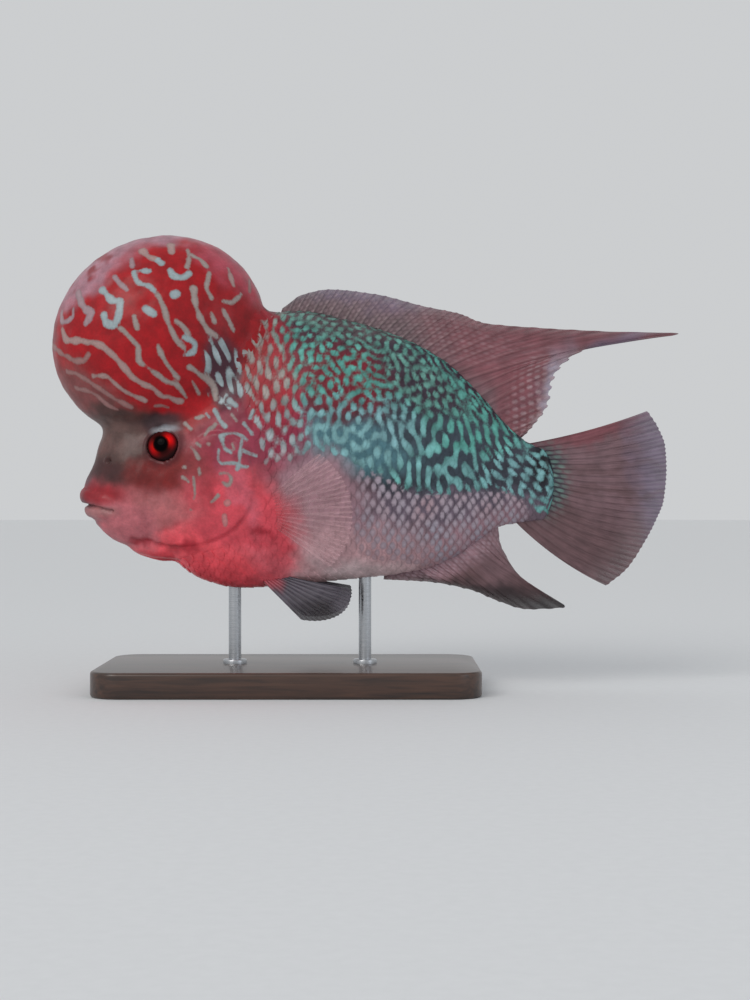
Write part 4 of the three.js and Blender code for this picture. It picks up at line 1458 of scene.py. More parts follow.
@dataclass
class Skin:
    """The one closed skin of the body, with the face's own forms in its surface."""

    form: BodyForm
    eye: EyeSeat
    segments: int = 320
    head_rings: int = 156
    fine_step: float = 0.6
    coarse_step: float = 1.5
    fine_end: float = -6.0
    cap_rings: int = 6
    coat_depth: float = 0.35
    lip_centre: float = -68.0
    gill_cover: tuple[tuple[float, float], ...] = (
        (-35, 99), (-26, 101.5), (-17, 95.5), (-13, 84), (-14.6, 72.5), (-21, 64),
        (-31, 58.8), (-44, 57.4), (-56, 58.8), (-62, 61), (-54, 72), (-43, 88),
    )
    preopercle: tuple[tuple[float, float], ...] = (
        (-37, 101), (-33.5, 92), (-32.5, 82), (-34.5, 73), (-41, 66), (-50, 62.5),
    )

    def rings(self) -> tuple[Array, Array, Array]:
        """Finds the skin's rings of points.

        Returns:
            The front pole, the rings and the rear pole.
        """
        turn = np.arange(self.segments) * 2 * np.pi / self.segments
        across = unit(np.stack([0.5 * np.sin(turn), np.cos(turn)], -1))
        core = np.array(self.form.core)
        polar = np.arange(1, self.head_rings) / self.head_rings * np.pi / 2
        rays = np.stack([
            np.broadcast_to(-np.cos(polar)[:, None], (len(polar), self.segments)),
            np.sin(polar)[:, None] * across[:, 0],
            np.sin(polar)[:, None] * across[:, 1],
        ], -1)
        head = self.form.cast(core, rays)
        stations = np.concatenate([
            np.arange(core[0], self.fine_end, self.fine_step),
            np.arange(self.fine_end, self.form.stalk_end, self.coarse_step),
            [self.form.stalk_end],
        ])
        starts = np.zeros((len(stations), self.segments, 3))
        starts[..., 0] = stations[:, None]
        starts[..., 2] = self.form.middle(stations)[:, None]
        flat = np.concatenate([np.zeros((self.segments, 1)), across], 1)
        tube = self.form.cast(starts, np.broadcast_to(flat, starts.shape))
        end = starts[-1, 0]
        rise = np.arange(1, self.cap_rings)[:, None, None] / self.cap_rings * np.pi / 2
        ahead = np.array([self.form.stalk_cap, 0, 0])
        cap = end + (tube[-1] - end) * np.cos(rise) + ahead * np.sin(rise)
        front = self.form.cast(core, np.array([-1.0, 0, 0]))
        return front, np.concatenate([head, tube, cap]), end + ahead

    def relief(self, p: Array) -> Array:
        """Works out how far the skin stands out from the smooth form.

        Args:
            p: Points on the smooth form.

        Returns:
            A height for each point, in millimetres.
        """
        height = 0.14 * waver(p, 9, 31) + 0.05 * waver(p, 3.5, 32)
        height *= smoothstep(8, -12, p[:, 0])
        near = p[:, 0] < -8
        q = p[near]
        rise = self.lips(q)
        for side in (-1.0, 1.0):
            own = q[:, 1] * side > 3
            rise[own] += self.cheek(q[own])
            rise[own] = self.eye_rim(q[own], side, rise[own])
        height[near] += rise
        return height - self.coat_depth * coat_share(p)

    def lip_line(self, z: float, drop: float, sweep: float = 78) -> Array:
        """Finds a line round the muzzle from one mouth corner to the other.

        Args:
            z: Its height at the front.
            drop: How much lower its ends are.
            sweep: How far round it goes to each side, in degrees.

        Returns:
            Points on the smooth form.
        """
        turn = np.radians(np.linspace(-sweep, sweep, 25))
        starts = np.stack([np.full(25, self.lip_centre), np.zeros(25),
                           z - drop * (1 - np.cos(turn))], -1)
        rays = np.stack([-np.cos(turn), np.sin(turn), np.zeros(25)], -1)
        return self.form.cast(starts, rays, 30)

    def lips(self, p: Array) -> Array:
        """Works out the relief of the lips and the mouth line.

        Args:
            p: Points on the smooth form.

        Returns:
            A height for each point, in millimetres.
        """
        upper = path_distance(p, self.lip_line(76.6, 4.2))
        lower = path_distance(p, self.lip_line(70.8, 1.8))
        height = 1.75 * np.sqrt(np.clip(1 - (upper / 3.3) ** 2, 0, 1)) ** 1.3
        height += 1.35 * np.sqrt(np.clip(1 - (lower / 2.7) ** 2, 0, 1)) ** 1.3
        height *= 0.25 + 0.75 * smoothstep(-66, -76, p[:, 0])
        height -= 2.3 * ridge(path_distance(p, self.lip_line(73.5, 3.0, 84)), 0.62)
        height -= 0.45 * ridge(path_distance(p, self.lip_line(66.8, 2.0, 66)), 0.9)
        return height

    def cheek(self, p: Array) -> Array:
        """Works out the relief of one side's gill cover, cheek, throat and nostril.

        Args:
            p: Points on the smooth form.

        Returns:
            A height for each point, in millimetres.
        """
        x, z = p[:, 0], p[:, 2]
        place = np.stack([x, z], -1)
        depth = outline_depth(x, z, smooth_closed(self.gill_cover))
        low = smoothstep(70, 63, z) * smoothstep(-60, -46, x)
        edge = np.maximum(smoothstep(-44, -30, x), low) * (0.75 + 0.35 * waver(p, 13, 33))
        height = 0.85 * edge * smoothstep(-0.4, 0.7, depth) * smoothstep(14, 2, depth)
        height -= 0.3 * edge * ridge(depth + 0.7, 0.9)
        height -= 0.32 * ridge(path_distance(place, np.array(self.preopercle)), 0.9)
        for crease in (((-62, 59.5), (-44, 56.0)), ((-60, 52.6), (-38, 50.0))):
            height -= 0.35 * ridge(path_distance(place, np.array(crease, float)), 0.7)
        nostril = np.hypot(x + 70.5, z - 90.5)
        return height + 0.35 * ridge(nostril - 1.5, 0.6) - 1.5 * ridge(nostril, 0.75)

    def eye_rim(self, p: Array, side: float, height: Array) -> Array:
        """Opens the skin over one eye and raises a rim round it.

        Args:
            p: Points on the smooth form.
            side: Which eye.
            height: The relief so far.

        Returns:
            The relief with the eye's opening and rim.
        """
        skin, out, ahead, up = self.eye.frame(self.form, side)
        off = p - skin
        across = np.hypot(off @ ahead, off @ up)
        over = np.clip((off @ up) / (across + 1e-6), 0, 1)
        opening = self.eye.seen + 0.1 - 1.7 * over**2
        bulge = np.sqrt(np.clip(1 - (across / self.eye.radius) ** 2, 0, 1))
        ball = self.eye.depth * bulge - self.eye.sunk - off @ out
        lid = np.clip(ball + 0.28, 0, 3) * smoothstep(9.4, 6.4, across)
        rim = np.maximum(lid, 0.75 * ridge(across - opening - 0.8, 0.9))
        raised = height * smoothstep(6, 9, across) + rim + 0.7 * over * ridge(across - 8.2, 1.4)
        sunk = -2.6
        wall = smoothstep(opening - 0.5, opening + 0.7, across)
        return sunk + (raised - sunk) * wall

    def build(self, finish: bpy.types.Material, marks: Markings) -> None:
        """Makes the skin.

        Args:
            finish: Its material.
            marks: The body's markings.
        """
        front, rings, rear = self.rings()
        count = len(rings) + 1
        clear_selection()
        bpy.ops.mesh.primitive_uv_sphere_add(
            segments=self.segments, ring_count=count, radius=1, calc_uvs=True)
        obj = bpy.context.active_object
        obj.name = obj.data.name = "fish_skin"
        ball = read_points(obj.data)
        ring = np.rint(np.arccos(np.clip(ball[:, 2], -1, 1)) / np.pi * count).astype(int)
        turn = np.arctan2(ball[:, 1], ball[:, 0]) / (2 * np.pi) * self.segments
        segment = np.rint(turn).astype(int) % self.segments
        smooth = rings[np.clip(ring - 1, 0, len(rings) - 1), segment]
        smooth[ring == 0] = front
        smooth[ring == count] = rear
        shaped = smooth + self.form.normal(smooth) * self.relief(smooth)[:, None]
        write_points(obj.data, shaped * MM)
        obj.data.uv_layers[0].name = "OFBake"
        self.unwrap = np.stack([segment / self.segments, 1 - ring / count], -1)
        self.tree = nearest_tree(smooth)
        activate(obj)
        bpy.ops.object.shade_smooth()
        obj.data.materials.append(finish)
        paint(obj.data, smooth, marks)
        finish_piece(obj, "hump_skin", *FLESH)


# The scales


@dataclass
class Coat:
    """Overlapping scales in slanting rows, each a small closed plate rooted in the skin."""

    rows: ScaleRows
    form: BodyForm
    skin: Skin
    along_cuts: tuple[float, ...] = (0, 0.22, 0.4, 0.54, 0.68, 0.84, 1)
    front: float = -0.85
    rear: float = 0.56
    overlap: float = 1.12
    sunk: float = -0.5
    proud: float = 0.02
    wall: float = 0.26
    patch: float = 0.003
    parting: float = 26.0  # where each side's scales are parted in two pieces

    def template(self) -> tuple[Array, Array, list[tuple[int, ...]], Array]:
        """Models one scale: a rounded plate with a wall round its edge and a closed back.

        Returns:
            Its places along and across from 0 to 1 and -1 to 1, its faces, and how deep
            each point lies below the plate as 0 or 1.
        """
        cells = len(self.along_cuts) - 1
        clear_selection()
        bpy.ops.mesh.primitive_grid_add(x_subdivisions=cells, y_subdivisions=cells, size=2)
        plate = bpy.context.active_object
        bpy.ops.object.mode_set(mode="EDIT")
        bpy.ops.mesh.select_all(action="SELECT")
        bpy.ops.mesh.region_to_loop()
        bpy.ops.mesh.extrude_region_move(TRANSFORM_OT_translate={"value": (0, 0, -1)})
        bpy.ops.mesh.edge_face_add()
        bpy.ops.mesh.select_all(action="SELECT")
        bpy.ops.mesh.normals_make_consistent(inside=False)
        bpy.ops.object.mode_set(mode="OBJECT")
        points = read_points(plate.data)
        faces = [tuple(f.vertices) for f in plate.data.polygons]
        bpy.data.objects.remove(plate)
        along = np.interp((points[:, 0] + 1) / 2, np.linspace(0, 1, cells + 1), self.along_cuts)
        tail = np.clip((along - 0.5) / 0.5, 0, 1)
        half = (0.78 + 0.22 * smoothstep(0, 0.45, along)) * np.sqrt(1 - 0.93 * tail**2.2)
        return along, points[:, 1] * half, faces, (points[:, 2] < -0.5).astype(float)

    def build(self, finish: bpy.types.Material, marks: Markings) -> None:
        """Makes all scales: two pieces on each side.

        Args:
            finish: The material.
            marks: The body's markings.
        """
        along, across, faces, below = self.template()
        x, rows = self.rows.centres()
        for word, side in (("left", -1.0), ("right", 1.0)):
            for part, own in (("front", x < self.parting), ("rear", x >= self.parting)):
                placed, under, rim = self.place(x[own], rows[own], side, along, across, below)
                mesh = bpy.data.meshes.new(f"scales_{part}_{word}")
                order = -int(side)
                size = len(along)
                joined = [tuple(v + n * size for v in face[::order])
                          for n in range(int(own.sum())) for face in faces]
                mesh.from_pydata(placed * MM, [], joined)
                obj = bpy.data.objects.new(mesh.name, mesh)
                bpy.context.scene.collection.objects.link(obj)
                write_number(mesh, "rim", rim)
                paint(mesh, under, marks)
                self.unwrap(mesh, placed, along, across)
                activate(obj)
                bpy.ops.object.shade_smooth_by_angle(angle=math.radians(50))
                mesh.materials.append(finish)
                finish_piece(obj, "flank_scales")

    def place(self, x: Array, rows: Array, side: float, along: Array, across: Array,
              below: Array) -> tuple[Array, Array, Array]:
        """Lays scales over the body.

        Args:
            x: Each scale's place along the fish.
            rows: The number of its row.
            side: -1 for the left side and 1 for the right.
            along: One scale's places along it.
            across: One scale's places across it.
            below: Which of its points lie below the plate.

        Returns:
            All points, the places under them on the smooth form, and how much each lies
            on a scale's dark rim.
        """
        gap = self.rows.spacing(x)[:, None]
        at = x[:, None] + gap * (self.front + (self.rear - self.front) * along)
        row = rows[:, None] + self.overlap * across
        surface = self.rows.chart.surface(at, self.rows.share(at, row), side).reshape(-1, 3)
        lift = self.sunk + (self.proud - self.sunk) * along**0.8 + 0.07 * (1 - across**2)
        draw = np.random.default_rng(SEED + int(side) + len(x))
        lift = lift + draw.normal(0, 0.015, (len(x), 1)) - self.wall * below
        height = surface.reshape(len(x), -1, 3)[:, 0, 2]
        edge_in = smoothstep(0, 6, x - gill_edge(height))
        lift = lift + 0.18 * (1 - edge_in)[:, None] * along
        placed = surface + self.form.normal(surface) * lift.reshape(-1, 1)
        away = np.hypot(np.clip(along - 0.6, 0, 1) / 0.4, np.abs(across) * 0.8)
        rim = np.tile(smoothstep(0.62, 1.0, away), len(x)) * self.rim_strength(surface)
        return placed, surface, rim

    def rim_strength(self, p: Array) -> Array:
        """Works out how dark a scale's edge is: darkest on the lower flank.

        Args:
            p: Places in millimetres.

        Returns:
            A share for each.
        """
        x, z = p[:, 0], p[:, 2]
        lower = Wash(Tone.PEARL, (58, 66), (52, 22), 0, 0.4).share(x, z)
        nape = smoothstep(10, -10, x)
        belly = smoothstep(58, 48, z) * smoothstep(50, 20, x)
        return np.clip(0.35 + 0.6 * lower - 0.2 * nape, 0, 1) * (1 - 0.85 * belly)

    def unwrap(self, mesh: bpy.types.Mesh, placed: Array, along: Array, across: Array) -> None:
        """Gives each scale a small patch at its root's place on the skin's own unwrap.

        Args:
            mesh: The coat's mesh.
            placed: Its points, in millimetres.
            along: One scale's places along it.
            across: One scale's places across it.
        """
        roots = placed.reshape(-1, len(along), 3).mean(1)
        near = [self.skin.tree.find(p)[1] for p in roots]
        patch = np.stack([along - 0.5, across / 2], -1) * self.patch
        spots = self.skin.unwrap[near][:, None] + patch[None]
        loops = np.empty(len(mesh.loops), int)
        mesh.loops.foreach_get("vertex_index", loops)
        layer = mesh.uv_layers.new(name="OFBake")
        layer.data.foreach_set("uv", spots.reshape(-1, 2)[loops].ravel().astype(np.float32))


# The fins


def stops(rows: Sequence[tuple[float, float, float]]) -> Curve:
    """Makes a smooth line in the side view from stops.

    Args:
        rows: Each stop's share of the way along a fin, its x and its z.

    Returns:
        A function that gives points for an array of shares.
    """
    along_x = hermite([(r[0], r[1]) for r in rows])
    along_z = hermite([(r[0], r[2]) for r in rows])
    return lambda u: np.stack([along_x(u), np.zeros_like(u), along_z(u)], -1)


@dataclass(frozen=True)
class Spots:
    """Pale spots in rows along a fin's rays, within a region of the side view."""

    region: Wash
    pitch: float = 3.0  # mm from one spot to the next
    wide: float = 0.42  # half width as a share of a lane
    tall: float = 0.9  # half height in mm
    lanes: int = 2  # rows of spots for each ray

    def share(self, x: Array, z: Array, s: Array, run: Array) -> Array:
        """Returns how much of a spot's colour lies at each place.

        Args:
            x: Places along the fish.
            z: Their heights.
            s: How many rays lie in front of them.
            run: How far out along the rays they are, in millimetres.

        Returns:
            A share from 0 to 1.
        """
        lane = np.floor(s * self.lanes)
        out = run / self.pitch + 0.5 * (lane % 2)
        off = (out - np.floor(out) - 0.5) * self.pitch
        near = np.hypot((s * self.lanes - lane - 0.5) / self.wide, off / self.tall)
        uneven = 0.75 + 0.25 * np.sin(lane * 2.3 + np.floor(out) * 4.1)
        return smoothstep(1.25, 0.65, near) * uneven * self.region.share(x, z)


@dataclass
class Fin:
    """A fin: a thin closed blade whose rays stand out on both faces and fork near the margin.

    Subclasses say where its middle surface lies.
    """

    name: str
    nodes: tuple[str, ...]
    rays: int
    rows: int
    base: Tone
    washes: tuple[Wash, ...] = ()
    spots: tuple[Spots, ...] = ()
    per_ray: int = 10
    inset: Curve = lambda u: 0.01 + 0 * u  # how far the web falls short of the ray tips
    fork_from: float = 0.35
    spiny: float = 0.0  # the share of the rays, from the front, that don't fork
    root_web: float = 1.5
    root_ray: float = 1.0
    web: float = 0.28
    ray: float = 0.5
    clear: float = 0.0
    thickest: float = 4.0

    def place(self, u: Array, v: Array) -> Array:
        """Returns the middle surface's points; each kind of fin has its own."""
        raise NotImplementedError

    def ray_share(self, u: Array, v: Array) -> Array:
        """Tells rays and their branches from the web between them.

        Args:
            u: Shares of the way from the first ray to the last.
            v: Shares of the way from root to margin.

        Returns:
            1 on a ray or its branch and 0 on the web.
        """
        gap = np.abs(u * self.rays - np.rint(u * self.rays))
        soft = smoothstep(self.fork_from, 1.0, v) * (u >= self.spiny)
        return ridge(np.abs(gap - 0.25 * soft), 0.15 - 0.05 * soft)

    def colour(self, u: Array, v: Array, points: Array, length: Array) -> Array:
        """Works out the membrane's colour with its spots.

        Args:
            u: Shares of the way from the first ray to the last.
            v: Shares of the way from root to margin.
            points: Places in millimetres.
            length: How long the ray through each place is, in millimetres.

        Returns:
            A linear colour for each place.
        """
        colour = lay_washes(points, self.base, self.washes)
        for spots in self.spots:
            share = spots.share(points[:, 0], points[:, 2], u * self.rays, v * length)[:, None]
            colour = colour * (1 - share) + spots.region.tone.rgb * share
        return colour

    def build(self, finish: bpy.types.Material) -> None:
        """Makes the fin.

        Args:
            finish: Its material.
        """
        clear_selection()
        bpy.ops.mesh.primitive_grid_add(
            x_subdivisions=self.rays * self.per_ray, y_subdivisions=self.rows, size=2,
            calc_uvs=True)
        obj = bpy.context.active_object
        obj.name = obj.data.name = self.name
        flat = read_points(obj.data)
        u, v = (flat[:, 0] + 1) / 2, (flat[:, 1] + 1) / 2
        ray = self.ray_share(u, v)
        reach = v * (1 - self.inset(u) * (1 - ray) * smoothstep(0.7, 1, v))
        points = self.place(u, reach)
        length = np.linalg.norm(self.place(u, np.ones_like(v)) - self.place(u, v * 0), axis=1)
        write_points(obj.data, points * MM)
        thin = np.sqrt(v)
        thick = self.root_web + (self.web - self.root_web) * thin
        thick += (self.root_ray + (self.ray - self.root_ray) * thin) * ray
        group = obj.vertex_groups.new(name="thickness")
        for n, weight in enumerate(thick / self.thickest):
            group.add([n], float(weight), "REPLACE")
        write_colour(obj.data, "ground", self.colour(u, v, points, length))
        write_number(obj.data, "ray", ray * (0.4 + smoothstep(1.02, 0.7, v)) / 1.4)
        thinning = self.clear + (1 - self.clear) * smoothstep(0.55, 1.0, v)
        write_number(obj.data, "clear", thinning * (1 - (0.5 - 0.25 * self.clear) * ray))
        obj.data.uv_layers[0].name = "Rays"
        activate(obj)
        wall = obj.modifiers.new("wall", "SOLIDIFY")
        wall.thickness = self.thickest * MM
        wall.offset = 0
        wall.vertex_group = group.name
        wall.use_even_offset = False
        bpy.ops.object.modifier_apply(modifier=wall.name)
        obj.vertex_groups.clear()
        bpy.ops.object.shade_smooth_by_angle(angle=math.radians(60))
        obj.data.materials.append(finish)
        finish_piece(obj, "clear_fin" if self.clear else "fin", *self.nodes)


@dataclass
class MiddleFin(Fin):
    """A fin in the fish's middle plane, with rays that bow and a slow wave."""

    root: Curve = stops([(0, 0, 0), (1, 1, 0)])
    margin: Curve = stops([(0, 0, 1), (1, 1, 1)])
    bow: Curve = lambda u: 0 * u
    wave: Curve = lambda u: 0 * u

    def place(self, u: Array, v: Array) -> Array:
        """Finds the middle surface's points.

        Args:
            u: Shares of the way from the first ray to the last.
            v: Shares of the way from root to margin.

        Returns:
            A point for each place.
        """
        start, end = self.root(u), self.margin(u)
        along = end - start
        aside = np.stack([-along[:, 2], np.zeros_like(u), along[:, 0]], -1)
        control = (start + end) / 2 + aside * self.bow(u)[:, None]
        t = v[:, None]
        p = start * (1 - t) ** 2 + control * 2 * t * (1 - t) + end * t * t
        p[:, 1] = self.wave(u) * v * v + 0.16 * v * np.cos(2 * np.pi * self.rays * u)
        return p


@dataclass
class FanFin(Fin):
    """A paired fin: its root is a short line on the body, and its rays open from it."""

    side: float = -1.0
    rootline: Curve = stops([(0, 0, 0), (1, 1, 0)])
    lean: float = 20.0
    spread: tuple[float, float] = (40.0, -36.0)
    reach: Curve = lambda u: 30 + 0 * u
    cup: float = 3.0

    def place(self, u: Array, v: Array) -> Array:
        """Finds the middle surface's points.

        Args:
            u: Shares of the way from the first ray to the last.
            v: Shares of the way from root to margin.

        Returns:
            A point for each place.
        """
        turn = np.radians(self.spread[0] + (self.spread[1] - self.spread[0]) * u)
        lean = math.radians(self.lean)
        run = self.reach(u) * v
        p = self.rootline(u).copy()
        p[:, 0] += np.cos(turn) * run * math.cos(lean)
        p[:, 2] += np.sin(turn) * run * math.cos(lean)
        p[:, 1] += self.side * (run * math.sin(lean) + self.cup * v * (1 - v))
        return p


def dorsal_fin(form: BodyForm) -> MiddleFin:
    """Describes the dorsal fin with its long rear streamer.

    Args:
        form: The body's form.

    Returns:
        The fin, ready to build.
    """
    def root(u: Array) -> Array:
        """Returns the root line, sunk in the back."""
        x = -4 + 95 * u
        return np.stack([x, 0 * x, form.back(x) - 2.2], -1)

    return MiddleFin(
        "dorsal_fin_blade", ("dorsal_fin", "dorsal_fin_streamer"), 30, 70, Tone.FIN_PLUM,
        washes=(
            Wash(Tone.FIN_VIOLET, (18, 159), (40, 6), -6, 0.6, 0.7),
            Wash(Tone.BACK_OLIVE, (30, 147), (46, 6), -14, 0.5, 0.6),
            Wash(Tone.FIN_RED, (86, 136), (30, 17), -20, 0.5, 0.8),
            Wash(Tone.FIN_RED, (132, 142), (34, 6), -2, 0.5, 0.8),
            Wash(Tone.FIN_VIOLET, (122, 132), (30, 4), 30, 0.7, 0.7),
            Wash(Tone.FIN_RED, (92, 112), (9, 16), -10, 0.5, 0.8),
            Wash(Tone.FIN_PALE, (105, 117), (3.5, 16), -14, 0.8, 0.7),
        ),
        spots=(
            Spots(Wash(Tone.FIN_SPOT, (40, 148), (62, 10), -16, 0.4, 0.32), 2.5, 0.4, 0.95),
            Spots(Wash(Tone.FIN_SPOT, (99, 115), (10, 20), -14, 0.5, 0.75), 3.4, 0.3, 1.2),
        ),
        spiny=0.5, inset=lambda u: 0.008 + 0.05 * smoothstep(0.77, 0.84, u),
        root=root,
        margin=stops([
            (0, -3, 151.8), (0.05, 5, 157.4), (0.14, 16, 159.6), (0.3, 34, 157.8),
            (0.45, 54, 152.8), (0.55, 68, 149.8), (0.62, 78, 146), (0.68, 100, 144),
            (0.73, 126, 142.6), (0.765, 156, 141.6), (0.8, 128, 138.4), (0.84, 112, 131.6),
            (0.88, 105.5, 123), (0.92, 103.5, 113.6), (0.96, 98.5, 106.4), (1, 93.4, 101),
        ]),
        bow=lambda u: 0.04 + 0.03 * np.sin(np.pi * u),
        wave=lambda u: 2.2 * np.sin(5 * u),
    )


def anal_fin(form: BodyForm) -> MiddleFin:
    """Describes the anal fin with its dark tip.

    Args:
        form: The body's form.

    Returns:
        The fin, ready to build.
    """
    def root(u: Array) -> Array:
        """Returns the root line, sunk in the belly."""
        x = 38 + 44.5 * u
        return np.stack([x, 0 * x, form.belly(x) + 2.2], -1)

    return MiddleFin(
        "anal_fin_blade", ("anal_fin",), 16, 48, Tone.FIN_BROWN,
        washes=(
            Wash(Tone.MAUVE, (64, 56), (26, 8), 20, 0.5, 0.85),
            Wash(Tone.FIN_PLUM, (84, 52), (8, 14), -10, 0.6, 0.7),
            Wash(Tone.FIN_BLACK, (106, 33), (18, 7), -8, 0.7, 0.95),
            Wash(Tone.FIN_BLACK, (74, 38.5), (30, 3), -14, 0.7, 0.75),
        ),
        spots=(Spots(Wash(Tone.PEARL_PINK, (64, 56), (25, 9), 24, 0.4, 0.6), 2.6, 0.42, 0.95),),
        root=root,
        margin=stops([
            (0, 37.4, 43.4), (0.2, 55, 42.6), (0.4, 73, 39.2), (0.55, 84, 34.6),
            (0.66, 96, 31.4), (0.75, 110.4, 32.4), (0.83, 96, 40.4), (0.9, 88, 50),
            (0.96, 84, 58), (1, 83.2, 63),
        ]),
        bow=lambda u: -0.05 * np.sin(np.pi * u),
        wave=lambda u: -1.6 * np.sin(4 * u),
    )


def caudal_fin() -> MiddleFin:
    """Describes the fan tail.

    Returns:
        The fin, ready to build.
    """
    return MiddleFin(
        "caudal_fin_blade", ("caudal_fin",), 20, 60, Tone.FIN_PLUM,
        washes=(
            Wash(Tone.FIN_BROWN, (110, 62), (32, 14), -30, 0.5, 0.8),
            Wash(Tone.FIN_RED, (118, 103), (32, 5), 18, 0.6, 0.85),
            Wash(Tone.FIN_VIOLET, (148, 84), (9, 42), 8, 0.7, 0.8),
            Wash(Tone.FIN_BROWN, (124, 79), (26, 1.6), -7, 0.7, 0.6),
            Wash(Tone.FIN_BROWN, (122, 88), (24, 1.4), 2, 0.7, 0.5),
            Wash(Tone.STALK, (102, 84), (8, 14), 0, 0.5, 0.9),
        ),
        spots=(Spots(Wash(Tone.TEAL_GREY, (103, 83), (8, 13), 0, 0.5, 0.9), 4.2, 0.36, 1.7, 1),),
        fork_from=0.2, inset=lambda u: 0.006 + 0 * u,
        root=stops([(0, 93, 97.4), (0.2, 99, 91.5), (0.5, 102, 81.6), (0.8, 98, 72),
                    (1, 90, 66.6)]),
        margin=stops([
            (0, 142.8, 110.8), (0.08, 147, 104.6), (0.2, 150.2, 96.6), (0.34, 150.9, 87),
            (0.5, 150, 75.4), (0.64, 146.8, 66.8), (0.78, 141.6, 57), (0.9, 135, 47.4),
            (1, 126.8, 40.8),
        ]),
        bow=lambda u: -0.05 - 0.04 * u,
        wave=lambda u: 3 * np.sin(3 * u - 0.6),
    )


def pectoral_fin(form: BodyForm, side: float) -> FanFin:
    """Describes a clear pectoral fin, folded back along the flank.

    Args:
        form: The body's form.
        side: -1 for the left fin and 1 for the right.

    Returns:
        The fin, ready to build.
    """
    def root(u: Array) -> Array:
        """Returns the root line, sunk behind the gill cover."""
        p = form.side(-8 + 3 * u, 76 - 11 * u, side)
        return p - np.array([0, side * 1.6, 0])

    word = "left" if side < 0 else "right"
    return FanFin(
        f"pectoral_fin_{word}_blade", (f"pectoral_fin_{word}",), 13, 36, Tone.BELLY,
        washes=(Wash(Tone.BREAST, (-5, 68), (8, 12), 0, 0.6, 0.6),),
        per_ray=8, fork_from=0.3, root_web=1.2, root_ray=0.5, web=0.24, ray=0.3, clear=0.92,
        side=side, rootline=root,
        reach=lambda u: 34 * (0.74 + 0.26 * np.sin(np.pi * (0.12 + 0.76 * u))),
    )


def pelvic_fin(form: BodyForm, side: float) -> FanFin:
    """Describes a pelvic fin, spread back under the belly.

    Args:
        form: The body's form.
        side: -1 for the left fin and 1 for the right.

    Returns:
        The fin, ready to build.
    """
    def root(u: Array) -> Array:
        """Returns the root line, sunk in the belly."""
        x = -12 + 8 * u
        inside = np.stack([x, side * 6.5 + 0 * x, form.middle(x)], -1)
        return form.cast(inside, np.array([0, 0, -1.0])) + np.array([0, 0, 2.5])

    word = "left" if side < 0 else "right"
    return FanFin(
        f"pelvic_fin_{word}_blade", (f"pelvic_fin_{word}",), 8, 40, Tone.FIN_GREY,
        washes=(Wash(Tone.FIN_BLACK, (16, 26), (14, 6), -36, 0.7, 0.8),
                Wash(Tone.BREAST, (-10, 44), (7, 4), -30, 0.6, 0.6)),
        side=side, rootline=root, lean=16, spread=(-44, -10), cup=1.5,
        reach=lambda u: 34 * (0.6 + 0.42 * np.sin(np.pi * (0.1 + 0.62 * u)) - 0.05 * u),
    )


# The eyes


@dataclass
class Eye:
    """One eyeball, with a slight bulge of clear cornea over its pupil."""

    form: BodyForm
    seat: EyeSeat
    side: float
    glow_turn: float = -28.0  # degrees up from straight ahead to the iris's brightest place

    def build(self, finish: bpy.types.Material) -> None:
        """Makes the eye.

        Args:
            finish: Its material.
        """
        word = "left" if self.side < 0 else "right"
        clear_selection()
        bpy.ops.mesh.primitive_uv_sphere_add(segments=64, ring_count=48, radius=1)
        obj = bpy.context.active_object
        obj.name = obj.data.name = f"eyeball_{word}"
        skin, out, ahead, up = self.seat.frame(self.form, self.side)
        ball = read_points(obj.data)
        across = self.seat.radius * np.hypot(ball[:, 0], ball[:, 1])
        cornea = 0.35 * smoothstep(4.6, 1.5, across) * (ball[:, 2] > 0)
        points = (skin - out * self.seat.sunk
                  + np.outer(ball[:, 0] * self.seat.radius, ahead * self.side)
                  + np.outer(ball[:, 1] * self.seat.radius, up)
                  + np.outer(ball[:, 2] * self.seat.depth + cornea, out))
        write_points(obj.data, points * MM)
        write_number(obj.data, "radial", np.where(ball[:, 2] > 0, across, EyeGlass.reach))
        turn = np.arctan2(ball[:, 1], ball[:, 0] * self.side) - math.radians(self.glow_turn)
        write_number(obj.data, "glow", np.abs(np.cos(turn)) ** 4 * (0.8 - 0.2 * np.cos(turn)))
        activate(obj)
        bpy.ops.object.shade_smooth()
        obj.data.materials.append(finish)
        finish_piece(obj, "eye", f"eye_{word}")


# The stand


